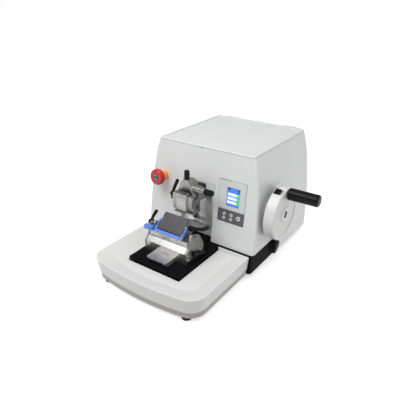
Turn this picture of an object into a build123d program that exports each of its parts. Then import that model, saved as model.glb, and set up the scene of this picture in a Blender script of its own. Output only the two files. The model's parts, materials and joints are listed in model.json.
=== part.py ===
from build123d import *
from math import atan2, cos, degrees, hypot, pi, radians, sin, sqrt
import os

# Rotary microtome. All lengths are in millimetres.
# The pieces are modelled about the middle of the housing's top front edge:
# X to the handwheel side, Y to the back, Z up from the bench.
# At the end everything moves so that the origin lies under the middle of the machine.

# Fits shared by all pieces
RUN = 0.05          # radial clearance of a shaft in its bore
SEAT = 0.02         # radial clearance of a fixed ring in its seat
GAP = 0.3           # gap between pieces that move past each other
SEAM = 0.6          # visible seam between two mouldings
FAR = 400.0         # longer than the machine, for cuts that go right through

# Housing
TOP_HALF = 133.5
LOW_HALF = 158.6
SIDE_SHARES = ((0.0, 0.0), (0.207, 0.008), (0.339, 0.056), (0.493, 0.159), (0.648, 0.303), (0.780, 0.462),
               (0.903, 0.701), (1.0, 1.0))
HOUSING_TOP = 290.0
HOUSING_LOW = 63.0
SKIRT_LOW = 14.0
SKIRT_FRONT = 95.0
FRONT_RUN = 30.9
SIDE_TOP_LEAN = 3.8
REAR_TOP_Y = 266.0
REAR_RUN = 12.0
WALL = 4.0
CORNER = 9.0
LID_HEIGHT = 4.5
LID_RIM = 9.0
LID_POCKET = 1.8
LID_LIP = 2.0
LID_LIP_DEPTH = 6.0

# Recess in the housing's front for the specimen arm
ARM_X = -6.0
RECESS_HALF = 47.0
RECESS_TOP = 206.0
RECESS_BACK = -9.0
RECESS_SIDE = 3.0
RECESS_WALL = 4.0
SLOT_HALF = 20.2
SLOT_TOP = 201.0
SLOT_LOW = 100.0
FACE_PLATE = 2.0
FACE_PLATE_LOW = 97.0
FACE_LIP = 8.0

# Base
BASE_HALF = 156.0
BASE_FRONT = -36.5
BASE_REAR = 271.0
BASE_WALL = 6.0
BASE_DECK = 8.0
PEDESTAL_LEFT = -70.0
PEDESTAL_RIGHT = 62.0
PLATE_LEFT = -77.4
PLATE_RIGHT = 68.6
PLATE_FRONT = -190.8
PLATE_TOP = 62.3
PLATE_THICK = 5.0
PLATE_STEP = -33.0
FOOT_RADIUS = 13.0
FOOT_HEIGHT = 13.0
FRONT_FOOT = (113.0, -222.0)
REAR_FOOT = (125.0, 245.0)

# Waste tray and the pan below it
TRAY_HALF = 152.0
TRAY_NOSE = -254.0
TRAY_SHOULDER = -238.0
TRAY_CORNER = 40.0
TRAY_REAR = -37.5
TRAY_TOP = 62.0
TRAY_FLOOR = 54.0
TRAY_SKIN = 3.0
TRAY_LIP = 3.5
TRAY_SLOPE = 30.0
TRAY_DRAFT = 4.0
TRAY_TRAVEL = 160.0
PAN_TOP = 27.0
PAN_LOW = 13.0
PAN_INSET = 5.5
PAN_SKIN = 3.0

# Handwheel and drive
SHAFT_Y = 48.0
SHAFT_Z = 149.5
SHAFT_RADIUS = 10.0
SHAFT_HUB_RADIUS = 12.5
WHEEL_RADIUS = 62.5
WHEEL_BACK = 169.0
WHEEL_FACE = 195.0
WHEEL_RIM = 7.5
WHEEL_WEB = 9.0
WHEEL_HUB_RADIUS = 19.0
WHEEL_RAISED = 66.0
CATCH_ANGLE = 106.5
CATCH_WIDTH = 17.0
CATCH_DEPTH = 5.5
CATCH_PROUD = 1.8
CATCH_TRAVEL = 6.0
GRIP_ARM = 50.7
GRIP_ANGLE = 82.0
GRIP_RADIUS = 14.0
GRIP_LENGTH = 73.0
SPINDLE_RADIUS = 5.0
CRANK_RADIUS = 27.5
CRANK_DISC_RADIUS = 37.0
CRANK_FACE = 31.0
CRANK_THICK = 8.0
CRANK_PIN_RADIUS = 7.0
PULLEY_X = 104.0
PULLEY_WIDTH = 13.0
PULLEY_RADIUS = 30.0
MOTOR_PULLEY_RADIUS = 12.0
BELT_THICK = 1.5
MOTOR_Y = 180.0
MOTOR_Z = 112.0
MOTOR_RADIUS = 28.0
MOTOR_LENGTH = 72.0
BEARING_RADIUS = 21.0
BEARING_WIDTH = 12.0
BEARING_X = (80.0, 134.0)

# Vertical carriage, guide rods and specimen feed
ARM_Z = 175.0
STROKE = 55.0
CARRIAGE_LEFT = -40.0
CARRIAGE_RIGHT = 28.0
CARRIAGE_FRONT = 3.0
CARRIAGE_REAR = 82.0
CARRIAGE_LOW = 147.0
CARRIAGE_TOP = 207.0
SLEEVE_RADIUS = 18.0
SLEEVE_FRONT = -36.0
PISTON_RADIUS = 12.0
PISTON_REAR = 60.0
FEED_TRAVEL = 28.0
SCREW_RADIUS = 4.0
SCREW_LEAD = 2.0
SCREW_FRONT = 15.0
ROD_RADIUS = 7.0
ROD_Y = 69.0
ROD_HALF_SPACING = 18.0
FRAME_FOOT = 17.0
FRAME_TOP_Z = 236.0
FRAME_TOP_THICK = 12.0
FRAME_COLUMN_Y = (120.0, 138.0)
FEED_MOTOR_SIZE = 35.0
FEED_MOTOR_LENGTH = 30.0
SHUTTER_Y = 0.8
SHUTTER_THICK = 2.0
SHUTTER_HALF = 26.0
SHUTTER_TOP = 262.0
SHUTTER_LOW = 88.0

# Specimen head
HEAD_BACK = -38.0
HEAD_PLATE = 8.0
HEAD_HALF = 22.0
HEAD_LOW = 143.0
ARCH_HALF = 17.0
ARCH_Z = 207.0
HEAD_ARM_FRONT = -66.0
TOP_ARM_LOW = 197.0
LOW_ARM_TOP = 152.0
PIVOT_Y = -58.0
PIVOT_RADIUS = 4.0
RING_FRONT = -66.0
RING_REAR = -50.0
EAR_THICK = 5.0
CARRIER_FRONT = -78.0
CARRIER_REAR = -71.0
CARRIER_LOW = 155.0
CARRIER_TOP = 195.0
CLAMP_HALF = 15.0
CLAMP_LOW = 153.3
CLAMP_FACE_Y = -80.0
JAW_FRONT = -87.0
JAW_LOW_TOP = 156.5
JAW_TOP = 200.0
JAW_REAR = -74.0
JAW_HALF = 18.5
JAW_LIFT = 6.0
TILT = 8.0
KNOB_TURN = 30.0
TOP_KNOB_RADIUS = 6.2
TOP_KNOB_HEIGHT = 21.5
SIDE_KNOB_RADIUS = 7.0
SIDE_KNOB_LENGTH = 22.0
SIDE_KNOB_Y = -56.0
SIDE_KNOB_Z = 206.0
SIDE_BOSS_END = 34.0
SIDE_COLLAR_END = 42.5

# Knife holder
EDGE_Y = -97.0
EDGE_Z = 150.2
SLOPE = 43.2
RAIL_HALF = 29.0
RAIL_FRONT = -178.0
RAIL_REAR = -60.0
RAIL_TOP = 72.0
HOLDER_LEFT = -67.0
HOLDER_RIGHT = 54.0
HOLDER_FRONT = -145.0
HOLDER_REAR = -82.0
HOLDER_OUT = 30.0
HOLDER_IN = 2.0
BLADE_SHIFT = 10.0
CHEEK = 6.0
SEGMENT_RADIUS = 62.8
SEGMENT_TOP = 112.0
SEGMENT_FRONT = -133.0
SEGMENT_STEP = 11.0
CARRIER_HALF = 36.0
CARRIER_X = -4.0
BLADE_WIDTH = 8.6
BLADE_THICK = 0.3
PRESS_LENGTH = 43.0
PRESS_THICK = 3.0
GUARD_PIVOT = 22.0
GUARD_OFF = 1.5
GUARD_THICK = 3.2
LEVER_BORE = 3.0
SLOT_RADIUS = 34.0
SLOT_ANGLE = -120.0
ANGLE_RANGE = 5.0

# Display, keypad and stop button on the sloping front
DISPLAY_X = (52.3, 124.6)
DISPLAY_Z = (157.5, 226.0)
SCREEN_X = (74.6, 108.6)
SCREEN_Z = (166.0, 210.0)
KEYPAD_X = (54.0, 124.4)
KEYPAD_Z = (125.4, 155.5)
PANEL_THICK = 2.0
PANEL_PROUD = 0.8
KEY_RADIUS = 4.0
RUN_KEY_RADIUS = 5.6
KEY_TRAVEL = 1.0
KEYS = {
    "key_menu": (72.0, 145.3, KEY_RADIUS),
    "key_up": (91.3, 145.3, KEY_RADIUS),
    "key_back": (72.0, 135.2, KEY_RADIUS),
    "key_down": (91.3, 135.2, KEY_RADIUS),
    "key_run": (110.4, 142.0, RUN_KEY_RADIUS),
}
STOP_X = -112.0
STOP_Z = 196.6
STOP_RADIUS = 20.0
STOP_STEM = 8.0
STOP_TRAVEL = 4.0
STOP_COLLAR = 17.5

FRONT_TILT = degrees(atan2(FRONT_RUN, HOUSING_TOP - HOUSING_LOW))
REAR_TILT = degrees(atan2(REAR_RUN, HOUSING_TOP - HOUSING_LOW))


def front_y(z):
    """Y of the sloping front face at height z."""
    return -FRONT_RUN * (HOUSING_TOP - z) / (HOUSING_TOP - HOUSING_LOW)


def rear_y(z):
    """Y of the sloping rear face at height z."""
    return REAR_TOP_Y + REAR_RUN * (HOUSING_TOP - z) / (HOUSING_TOP - HOUSING_LOW)


def side_curve():
    """(z, x) points of the curved side wall, from its foot to the top."""
    rise, run = HOUSING_TOP - HOUSING_LOW, LOW_HALF - TOP_HALF
    return [(HOUSING_LOW + up * rise, LOW_HALF - inwards * run) for up, inwards in SIDE_SHARES]


def side_x(z):
    """X of the curved side wall at height z."""
    points = side_curve()
    for (low, wide), (high, narrow) in zip(points, points[1:]):
        if low <= z <= high:
            return wide + (narrow - wide) * (z - low) / (high - low)
    return LOW_HALF


def block(x0, x1, y0, y1, z0, z1):
    """Box between two corners."""
    size = Box(x1 - x0, y1 - y0, z1 - z0)
    return Pos((x0 + x1) / 2, (y0 + y1) / 2, (z0 + z1) / 2) * size


def rod_x(radius, x0, x1, y, z):
    return Pos((x0 + x1) / 2, y, z) * Rot(0, 90, 0) * Cylinder(radius, x1 - x0)


def rod_y(radius, x, y0, y1, z):
    return Pos(x, (y0 + y1) / 2, z) * Rot(90, 0, 0) * Cylinder(radius, y1 - y0)


def rod_z(radius, x, y, z0, z1):
    return Pos(x, y, (z0 + z1) / 2) * Cylinder(radius, z1 - z0)


def prism_x(points, x0, x1):
    """Polygon of (y, z) points drawn out along X."""
    face = make_face(Polyline(*points, close=True))
    return Pos(x0, 0, 0) * extrude(Plane.YZ * face, amount=x1 - x0)


def prism_y(points, y0, y1):
    """Polygon of (x, z) points drawn out along Y."""
    face = make_face(Polyline(*points, close=True))
    return Pos(0, y1, 0) * extrude(Plane.XZ * face, amount=y1 - y0)


def prism_z(points, z0, z1):
    """Polygon of (x, y) points drawn out along Z."""
    face = make_face(Polyline(*points, close=True))
    return Pos(0, 0, z0) * extrude(face, amount=z1 - z0)


def on_front(x, z):
    """Frame on the sloping front: X across, Y up the slope, Z out of the face."""
    normal = (0, -cos(radians(FRONT_TILT)), sin(radians(FRONT_TILT)))
    return Plane(origin=(x, front_y(z), z), x_dir=(1, 0, 0), z_dir=normal)


def on_rear(x, z):
    """Frame on the rear face: X across, Z out of the face."""
    normal = (0, cos(radians(REAR_TILT)), sin(radians(REAR_TILT)))
    return Plane(origin=(x, rear_y(z), z), x_dir=(-1, 0, 0), z_dir=normal)


def slope_height(z0, z1):
    """Length along the sloping front between two heights."""
    return (z1 - z0) / cos(radians(FRONT_TILT))


def slab(width, height, near, far):
    """Box centred in its plane, from near to far along the normal."""
    return Pos(0, 0, (near + far) / 2) * Box(width, height, far - near)


def disc(radius, near, far):
    return Pos(0, 0, (near + far) / 2) * Cylinder(radius, far - near)


def knife(along, off):
    """(y, z) of a point beside the blade: distance down the slope, height off it."""
    down = (-cos(radians(SLOPE)), -sin(radians(SLOPE)))
    away = (-sin(radians(SLOPE)), cos(radians(SLOPE)))
    return (EDGE_Y + along * down[0] + off * away[0], EDGE_Z + along * down[1] + off * away[1])


def edge_arc(radius, y):
    """Height of a circle about the blade's edge, below it, at the given y."""
    return EDGE_Z - sqrt(radius * radius - (y - EDGE_Y) ** 2)


def fluted(radius, height, flutes, depth):
    """Knob body along Z from 0 to height with scalloped sides and a domed end."""
    body = Cylinder(radius, height, align=(Align.CENTER, Align.CENTER, Align.MIN))
    body = fillet(body.edges().sort_by(Axis.Z)[-1], radius * 0.45)
    scallop = Cylinder(depth * 1.6, height * 0.72, align=(Align.CENTER, Align.CENTER, Align.MIN))
    for copy in range(flutes):
        turn = Rot(0, 0, copy * 360 / flutes)
        body -= turn * Pos(radius + depth * 0.6, 0, height * 0.12) * scallop
    return body


def lever_arm(length, root, tip, thick, rise):
    """Bent handle along X from the hub at the origin, thinner at the root and bent up by rise."""
    plan = make_face(Polyline((0, -root / 2), (length - tip / 2, -tip / 2), (length - tip / 2, tip / 2),
                              (0, root / 2), close=True)) + Pos(length - tip / 2, 0) * Circle(tip / 2)
    bend = length * 0.42
    side = make_face(Polyline((0, -thick / 2), (bend, rise - thick / 2), (length, rise - thick / 2),
                              (length, rise + thick / 2), (bend, rise + thick / 2), (0, thick / 2),
                              close=True))
    tall = extrude(plan, amount=thick + rise + 10, both=True)
    wide = extrude(Plane.XZ * side, amount=tip, both=True)
    arm = tall & wide
    long_edges = arm.edges().filter_by(lambda e: e.length > length * 0.3)
    try_radius = min(thick, root) * 0.3
    return fillet(long_edges, try_radius)


# Housing

def housing_body(inset):
    """Outer form of the housing and lid, or the same form inset by a wall."""
    right = [(x - inset, z) for z, x in side_curve()]
    lean = SIDE_TOP_LEAN * (LOW_HALF - TOP_HALF) / (HOUSING_TOP - HOUSING_LOW)
    left = [(-x, z) for x, z in reversed(right)]
    low = SKIRT_LOW if inset == 0 else SKIRT_LOW - 1
    half = LOW_HALF - inset
    outline = [
        Spline(*right, tangents=[(0, 1), (-lean, 1)]),
        Line(right[-1], left[0]),
        Spline(*left, tangents=[(-lean, -1), (0, -1)]),
        Line((-half, HOUSING_LOW), (-half, low)),
        Line((-half, low), (half, low)),
        Line((half, low), (half, HOUSING_LOW)),
    ]
    across = Pos(0, FAR, 0) * extrude(Plane.XZ * make_face(outline), amount=2 * FAR)
    top = HOUSING_TOP
    fore = inset / cos(radians(FRONT_TILT))
    aft = inset / cos(radians(REAR_TILT))
    depth = [(front_y(top) + fore, top), (rear_y(top) - aft, top),
             (rear_y(low) - aft, low), (front_y(low) + fore, low)]
    body = across & prism_x(depth, -LOW_HALF - 10, LOW_HALF + 10)
    upright = body.edges().filter_by(lambda e: abs(e.bounding_box().size.Z) > 30)
    body = fillet(upright, CORNER - inset)
    if inset == 0:
        body = fillet(body.faces().sort_by(Axis.Z)[-1].edges(), 2.5)
    return body


def lid_seam():
    return HOUSING_TOP - LID_HEIGHT


def hinge_axis():
    """(y, z) of the lid's hinge, just behind the seam."""
    return (rear_y(lid_seam()) + 5.0, lid_seam())


HINGE_X = (-90.0, 90.0)
KNUCKLE_RADIUS = 4.0
HINGE_PIN = 1.6
KNUCKLE = 12.0


def make_lid(outer):
    seam = lid_seam()
    under = seam + SEAM / 2
    lid = outer & block(-FAR, FAR, -FAR, FAR, under, HOUSING_TOP + 1)
    top_half = TOP_HALF - LID_RIM
    pocket = block(-top_half, top_half, LID_RIM, REAR_TOP_Y - LID_RIM,
                   HOUSING_TOP - LID_POCKET, HOUSING_TOP + 1)
    lid -= fillet(pocket.edges().filter_by(Axis.Z), CORNER)
    half = TOP_HALF - WALL - 1
    front, rear = WALL + 1.5, REAR_TOP_Y - WALL - 1
    lip = block(-half, half, front, rear, under - LID_LIP_DEPTH, under + 0.5)
    lip -= block(LID_LIP - half, half - LID_LIP, front + LID_LIP, rear - LID_LIP,
                 under - LID_LIP_DEPTH - 1, under + 1)
    lid += lip
    y, z = hinge_axis()
    for x in HINGE_X:
        for side in (-1, 1):
            near = x + side * (KNUCKLE / 2 + GAP)
            far = x + side * (KNUCKLE / 2 + GAP + KNUCKLE)
            left, right = min(near, far), max(near, far)
            lid += rod_x(KNUCKLE_RADIUS, left, right, y, z)
            lid += block(left, right, rear_y(seam) - 2.0, y, z + SEAM / 2, z + KNUCKLE_RADIUS)
            lid -= rod_x(HINGE_PIN + RUN, left - 1, right + 1, y, z)
            lid -= block(left - 0.1, right + 0.1, rear_y(seam) - 3.0, y - KNUCKLE_RADIUS - 0.2,
                         z - KNUCKLE_RADIUS, z + SEAM / 2)
    return lid


def make_housing_shell(outer):
    seam = lid_seam()
    shell = outer & block(-FAR, FAR, -FAR, FAR, SKIRT_LOW, seam - SEAM / 2)
    shell -= housing_body(WALL)
    shell -= block(-FAR, FAR, -FAR, SKIRT_FRONT, 0, HOUSING_LOW)

    left, right = ARM_X - RECESS_HALF, ARM_X + RECESS_HALF
    liner = block(left - RECESS_SIDE, right + RECESS_SIDE, -60, RECESS_BACK + RECESS_WALL,
                  HOUSING_LOW, RECESS_TOP + RECESS_SIDE)
    shell += liner & outer
    shell -= block(left, right, -60, RECESS_BACK, HOUSING_LOW - 1, RECESS_TOP)
    slot = block(ARM_X - SLOT_HALF - 1, ARM_X + SLOT_HALF + 1, RECESS_BACK - 1,
                 RECESS_BACK + RECESS_WALL + 1, SLOT_LOW - 1, SLOT_TOP + 1)
    shell -= slot

    boss = rod_x(32.0, side_x(SHAFT_Z) - WALL, WHEEL_BACK - 2.5, SHAFT_Y, SHAFT_Z)
    shell += boss
    shell -= rod_x(SHAFT_HUB_RADIUS + 3.0, side_x(SHAFT_Z) - 20, WHEEL_BACK, SHAFT_Y, SHAFT_Z)

    shell -= display_rebate()
    shell -= keypad_rebate()
    shell -= on_front(STOP_X, STOP_Z) * disc(STOP_STEM + 2, -30, 5)
    shell -= rear_rebate()

    y, z = hinge_axis()
    for x in HINGE_X:
        shell += rod_x(KNUCKLE_RADIUS, x - KNUCKLE / 2, x + KNUCKLE / 2, y, z)
        leaf = prism_x([(rear_y(z) - 2.0, z - SEAM / 2), (y, z - SEAM / 2), (y + KNUCKLE_RADIUS, z - SEAM / 2),
                        (rear_y(z - 12) - 1.0, z - 12)], x - KNUCKLE / 2, x + KNUCKLE / 2)
        shell += leaf
        reach = KNUCKLE * 1.5 + GAP
        shell += rod_x(HINGE_PIN, x - reach, x + reach, y, z)
    return shell


REAR_PANEL_HALF = 108.0
REAR_PANEL_Z = (84.0, 246.0)
REAR_PANEL_THICK = 2.0
INLET_X = -70.0
INLET_Z = 112.0
SWITCH_X = -44.0
SWITCH_PIN = 1.2
SWITCH_DEPTH = 3.0
ROCKER_RADIUS = 10.0
VENTS = 9


def rear_panel_centre():
    return (REAR_PANEL_Z[0] + REAR_PANEL_Z[1]) / 2


def rear_rebate():
    """Opening for the rear panel with a ledge that it sits on."""
    height = REAR_PANEL_Z[1] - REAR_PANEL_Z[0]
    width = 2 * REAR_PANEL_HALF
    plane = on_rear(0, rear_panel_centre())
    through = plane * slab(width - 12, height - 12, -WALL - 8, 5)
    ledge = plane * slab(width + 2 * GAP, height + 2 * GAP, -REAR_PANEL_THICK, 5)
    return through + ledge


def make_rear_panel():
    height = REAR_PANEL_Z[1] - REAR_PANEL_Z[0]
    width = 2 * REAR_PANEL_HALF
    panel = slab(width, height, -REAR_PANEL_THICK, 0)
    panel = fillet(panel.edges().filter_by(Axis.Z), 4)
    for row in range(VENTS):
        for side in (-1, 1):
            slot = Pos(side * 45, 10 + row * 7, -1) * Box(60, 3, 8)
            panel -= slot
    panel = on_rear(0, rear_panel_centre()) * panel
    return panel - on_rear(module_x(), INLET_Z) * slab(MODULE_WIDTH, MODULE_HEIGHT, -8, 8)


MODULE_WIDTH = 48.0
MODULE_HEIGHT = 27.0


def module_x():
    return (INLET_X + SWITCH_X) / 2 + 1.0


def make_power_inlet():
    """Panel module: appliance socket with three blades beside the frame of the rocker switch."""
    module = slab(MODULE_WIDTH + 7, MODULE_HEIGHT + 5, 0, 2)
    module = fillet(module.edges().filter_by(Axis.Z), 2.5)
    module += slab(MODULE_WIDTH - 0.6, MODULE_HEIGHT - 0.6, -24, 0)
    module = on_rear(module_x(), INLET_Z) * module
    socket = on_rear(INLET_X, INLET_Z)
    module -= socket * fillet(slab(23.5, 16.0, -18, 3).edges().filter_by(Axis.Z), 3.0)
    for dx, dy in ((-7, -2), (7, -2), (0, 3)):
        module += socket * (Pos(dx, dy, -11) * Box(2, 4, 14.5))
    frame = on_rear(SWITCH_X, INLET_Z)
    module -= frame * slab(13.0, 21.0, -14, 3)
    return module + frame * rod_x(SWITCH_PIN, -7, 7, 0, -SWITCH_DEPTH)


def switch_pin():
    """Middle of the rocker's pin."""
    return tuple(on_rear(SWITCH_X, INLET_Z).from_local_coords(Vector(0, 0, -SWITCH_DEPTH)))


def make_power_switch():
    """Rocker that tips about its middle pin."""
    rocker = prism_x([(-12.0, 2.6), (0, 1.0), (12.0, 6.0), (9.0, -7), (-9.0, -7)], -6.0, 6.0)
    rocker &= rod_x(ROCKER_RADIUS, -6, 6, 0, -SWITCH_DEPTH)
    rocker -= rod_x(SWITCH_PIN + RUN, -7, 7, 0, -SWITCH_DEPTH)
    return on_rear(SWITCH_X, INLET_Z) * rocker


# Base, pan, tray and feet

def pan_outline(inset, rear):
    """D-shaped outline of the tray and pan, open end to the back."""
    half = TRAY_HALF - inset
    shoulder = TRAY_SHOULDER + inset
    nose = TRAY_NOSE + inset
    face = make_face([
        Line((half, rear), (-half, rear)),
        Line((-half, rear), (-half, shoulder)),
        ThreePointArc((-half, shoulder), (0, nose), (half, shoulder)),
        Line((half, shoulder), (half, rear)),
    ])
    front_corners = face.vertices().filter_by(lambda v: v.Y < rear - 20)
    return fillet(front_corners, TRAY_CORNER - inset * 0.5)


def make_base_pan():
    body = Pos(0, 0, PAN_LOW) * extrude(pan_outline(PAN_INSET, TRAY_REAR), amount=PAN_TOP - PAN_LOW)
    hollow = extrude(pan_outline(PAN_INSET + PAN_SKIN, TRAY_REAR - PAN_SKIN), amount=PAN_TOP - PAN_SKIN)
    body -= hollow
    for side in (-1, 1):
        body += rod_z(FOOT_RADIUS + 2, side * FRONT_FOOT[0], FRONT_FOOT[1], PAN_LOW, PAN_TOP - PAN_SKIN)
    return body


def make_waste_tray():
    low = PAN_TOP + GAP
    outer = loft([Pos(0, 0, low) * pan_outline(TRAY_DRAFT, TRAY_REAR),
                  Pos(0, 0, TRAY_TOP) * pan_outline(0, TRAY_REAR)], ruled=True)
    dish = loft([Pos(0, 0, TRAY_FLOOR) * pan_outline(TRAY_LIP + TRAY_SLOPE, TRAY_REAR - TRAY_LIP),
                 Pos(0, 0, TRAY_TOP) * pan_outline(TRAY_LIP, TRAY_REAR - TRAY_LIP)], ruled=True)
    under = Pos(0, 0, low) * extrude(pan_outline(TRAY_DRAFT + TRAY_SKIN + 1, TRAY_REAR - TRAY_SKIN),
                                     amount=TRAY_FLOOR - TRAY_SKIN - low)
    inner_left, inner_right = PLATE_LEFT - 1.6, PLATE_RIGHT + 1.6
    inner_front = PLATE_FRONT - 1.6
    keep = block(inner_left - TRAY_SKIN, inner_right + TRAY_SKIN, inner_front - TRAY_SKIN, 0,
                 low, TRAY_FLOOR)
    tray = outer - (dish + Pos(0, 0, TRAY_TOP) * extrude(pan_outline(TRAY_LIP, TRAY_REAR - TRAY_LIP), amount=5))
    tray -= under - keep
    tray -= block(inner_left, inner_right, inner_front, 0, 0, TRAY_TOP + 1)
    return tray


def make_base_casting():
    deck = HOUSING_LOW
    low = SKIRT_LOW
    rear_half = LOW_HALF - WALL - 2
    front = block(-BASE_HALF, BASE_HALF, BASE_FRONT, SKIRT_FRONT - SEAM, low, deck)
    front = fillet(front.edges().filter_by(Axis.Z).sort_by(Axis.Y)[:2], CORNER)
    rear = block(-rear_half, rear_half, SKIRT_FRONT - SEAM, BASE_REAR, low, deck)
    body = front + rear
    inner_front = block(-BASE_HALF + BASE_WALL, BASE_HALF - BASE_WALL, BASE_FRONT + BASE_WALL,
                        SKIRT_FRONT, low - 1, deck - BASE_DECK)
    inner_rear = block(-rear_half + BASE_WALL, rear_half - BASE_WALL, SKIRT_FRONT - 10,
                       BASE_REAR - BASE_WALL, low - 1, deck - BASE_DECK)
    body -= inner_front + inner_rear
    for side in (-1, 1):
        body += rod_z(FOOT_RADIUS + 3, side * REAR_FOOT[0], REAR_FOOT[1], low, deck - BASE_DECK)
        body += block(side * 60 - 3, side * 60 + 3, BASE_FRONT + BASE_WALL - 1, BASE_REAR - BASE_WALL + 1,
                      deck - BASE_DECK - 18, deck - BASE_DECK + 1)
    pedestal = block(PEDESTAL_LEFT, PEDESTAL_RIGHT, PLATE_FRONT + 5, BASE_FRONT + BASE_WALL,
                     PAN_TOP, PLATE_TOP - PLATE_THICK)
    pedestal -= block(PEDESTAL_LEFT + BASE_WALL, PEDESTAL_RIGHT - BASE_WALL, PLATE_FRONT + 5 + BASE_WALL,
                      BASE_FRONT - BASE_WALL, PAN_TOP - 1, PLATE_TOP - PLATE_THICK - BASE_DECK)
    body += pedestal
    body -= base_plate_form(GAP)
    shutter_gap = 2.0
    body -= block(ARM_X - SHUTTER_HALF - shutter_gap, ARM_X + SHUTTER_HALF + shutter_gap,
                  SHUTTER_Y - shutter_gap, SHUTTER_Y + SHUTTER_THICK + shutter_gap, 0, deck + 1)
    body -= rod_x(LOCK_HUB + RUN, BASE_HALF - BASE_WALL - 1, BASE_HALF + 1, LOCK_Y, LOCK_Z)
    rear_corners = body.edges().filter_by(Axis.Z).filter_by(lambda e: e.center().Y > BASE_REAR - 1
                                                            and abs(e.center().X) > rear_half - 1)
    return fillet(rear_corners, CORNER - WALL)


def base_plate_form(around):
    """Cut that the base plate lies in: its own outline, widened by a clearance."""
    main = block(PLATE_LEFT - around, PLATE_RIGHT + around, PLATE_FRONT - around, PLATE_STEP + around,
                 PLATE_TOP - PLATE_THICK, PLATE_TOP + 1)
    left = ARM_X - RECESS_HALF + 0.8
    right = ARM_X + RECESS_HALF - 0.8
    tongue = block(left - around, right + around, PLATE_STEP - 1, RECESS_BACK - 1 + around,
                   PLATE_TOP - PLATE_THICK, PLATE_TOP + 1)
    return main + tongue


def make_base_plate():
    plate = base_plate_form(0)
    plate &= block(-200, 200, -300, 100, PLATE_TOP - PLATE_THICK, PLATE_TOP)
    front_edges = plate.edges().filter_by(Axis.Z).sort_by(Axis.Y)[:2]
    return fillet(front_edges, 2.0)


def make_rubber_feet():
    feet = []
    for x, y, top in ((FRONT_FOOT[0], FRONT_FOOT[1], PAN_LOW), (REAR_FOOT[0], REAR_FOOT[1], SKIRT_LOW)):
        for side in (-1, 1):
            foot = Cone(FOOT_RADIUS - 1.5, FOOT_RADIUS, top, align=(Align.CENTER, Align.CENTER, Align.MIN))
            foot = fillet(foot.edges().sort_by(Axis.Z)[0], 1.5)
            feet.append(Pos(side * x, y, 0) * foot)
    return Compound(children=feet)


# Inner frame and drive

def make_slide_face_plate():
    left = ARM_X - RECESS_HALF + 0.4
    right = ARM_X + RECESS_HALF - 0.4
    front = RECESS_BACK - FACE_PLATE
    plate = block(left, right, front, RECESS_BACK, FACE_PLATE_LOW, RECESS_TOP - 0.6)
    plate &= block(left, right, -60, 0, 0, RECESS_TOP)
    lip = block(left, right, front - FACE_LIP, front, FACE_PLATE_LOW, FACE_PLATE_LOW + 2)
    plate += lip
    corner = plate.edges().filter_by(Axis.X).filter_by(lambda e: abs(e.center().Y - front) < 0.01
                                                       and abs(e.center().Z - FACE_PLATE_LOW - 2) < 0.01)
    plate = fillet(corner, 4.0)
    slot = block(ARM_X - SLOT_HALF, ARM_X + SLOT_HALF, front - 3, RECESS_BACK + 1, SLOT_LOW, SLOT_TOP)
    slot = fillet(slot.edges().filter_by(Axis.Y), 6.0)
    return plate - slot


def frame_rods():
    return (ARM_X - ROD_HALF_SPACING, ARM_X + ROD_HALF_SPACING)


def make_main_frame():
    left, right = CARRIAGE_LEFT - 8, CARRIAGE_RIGHT
    deck = HOUSING_LOW
    back0, back1 = FRAME_COLUMN_Y
    foot = block(left, right, ROD_Y - 17, back1, deck, deck + FRAME_FOOT)
    top = block(left, right, ROD_Y - 14, back1, FRAME_TOP_Z, FRAME_TOP_Z + FRAME_TOP_THICK)
    column = block(left, right, back0, back1, deck, FRAME_TOP_Z + FRAME_TOP_THICK)
    column -= block(left + 14, right - 14, back0 - 1, back1 + 1, deck + FRAME_FOOT + 14, FRAME_TOP_Z - 14)
    body = foot + top + column
    for x in (left, right - 6):
        gusset = prism_x([(back0, deck + FRAME_FOOT), (back0 - 26, deck + FRAME_FOOT),
                          (back0, deck + FRAME_FOOT + 34)], x, x + 6)
        body += gusset
    for x in frame_rods():
        body -= rod_z(ROD_RADIUS + SEAT, x, ROD_Y, deck + 4, FRAME_TOP_Z + FRAME_TOP_THICK + 1)
    return body


def make_guide_rods():
    rods = []
    for x in frame_rods():
        rods.append(rod_z(ROD_RADIUS, x, ROD_Y, HOUSING_LOW + 4, FRAME_TOP_Z + FRAME_TOP_THICK))
    return Compound(children=rods)


def make_bearing_block():
    half = BEARING_WIDTH / 2
    body = block(BEARING_X[0] - half, BEARING_X[1] + half, SHAFT_Y - 32, SHAFT_Y + 32,
                 HOUSING_LOW, HOUSING_LOW + 8)
    for x in BEARING_X:
        stand = prism_x([(SHAFT_Y - 32, HOUSING_LOW), (SHAFT_Y + 32, HOUSING_LOW),
                         (SHAFT_Y + 28, SHAFT_Z), (SHAFT_Y - 28, SHAFT_Z)], x - half, x + half)
        body += stand + rod_x(28, x - half, x + half, SHAFT_Y, SHAFT_Z)
    for x in BEARING_X:
        body -= rod_x(BEARING_RADIUS + SEAT, x - half - 1, x + half + 1, SHAFT_Y, SHAFT_Z)
    return body


def make_shaft_bearings():
    rings = []
    half = BEARING_WIDTH / 2
    for x in BEARING_X:
        ring = rod_x(BEARING_RADIUS, x - half, x + half, SHAFT_Y, SHAFT_Z)
        ring -= rod_x(SHAFT_RADIUS + RUN, x - half - 1, x + half + 1, SHAFT_Y, SHAFT_Z)
        groove = rod_x(BEARING_RADIUS - 3, x + half - 0.8, x + half + 1, SHAFT_Y, SHAFT_Z)
        groove -= rod_x(SHAFT_RADIUS + 3, x + half - 1.8, x + half + 2, SHAFT_Y, SHAFT_Z)
        rings.append(ring - groove)
    return Compound(children=rings)


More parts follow.
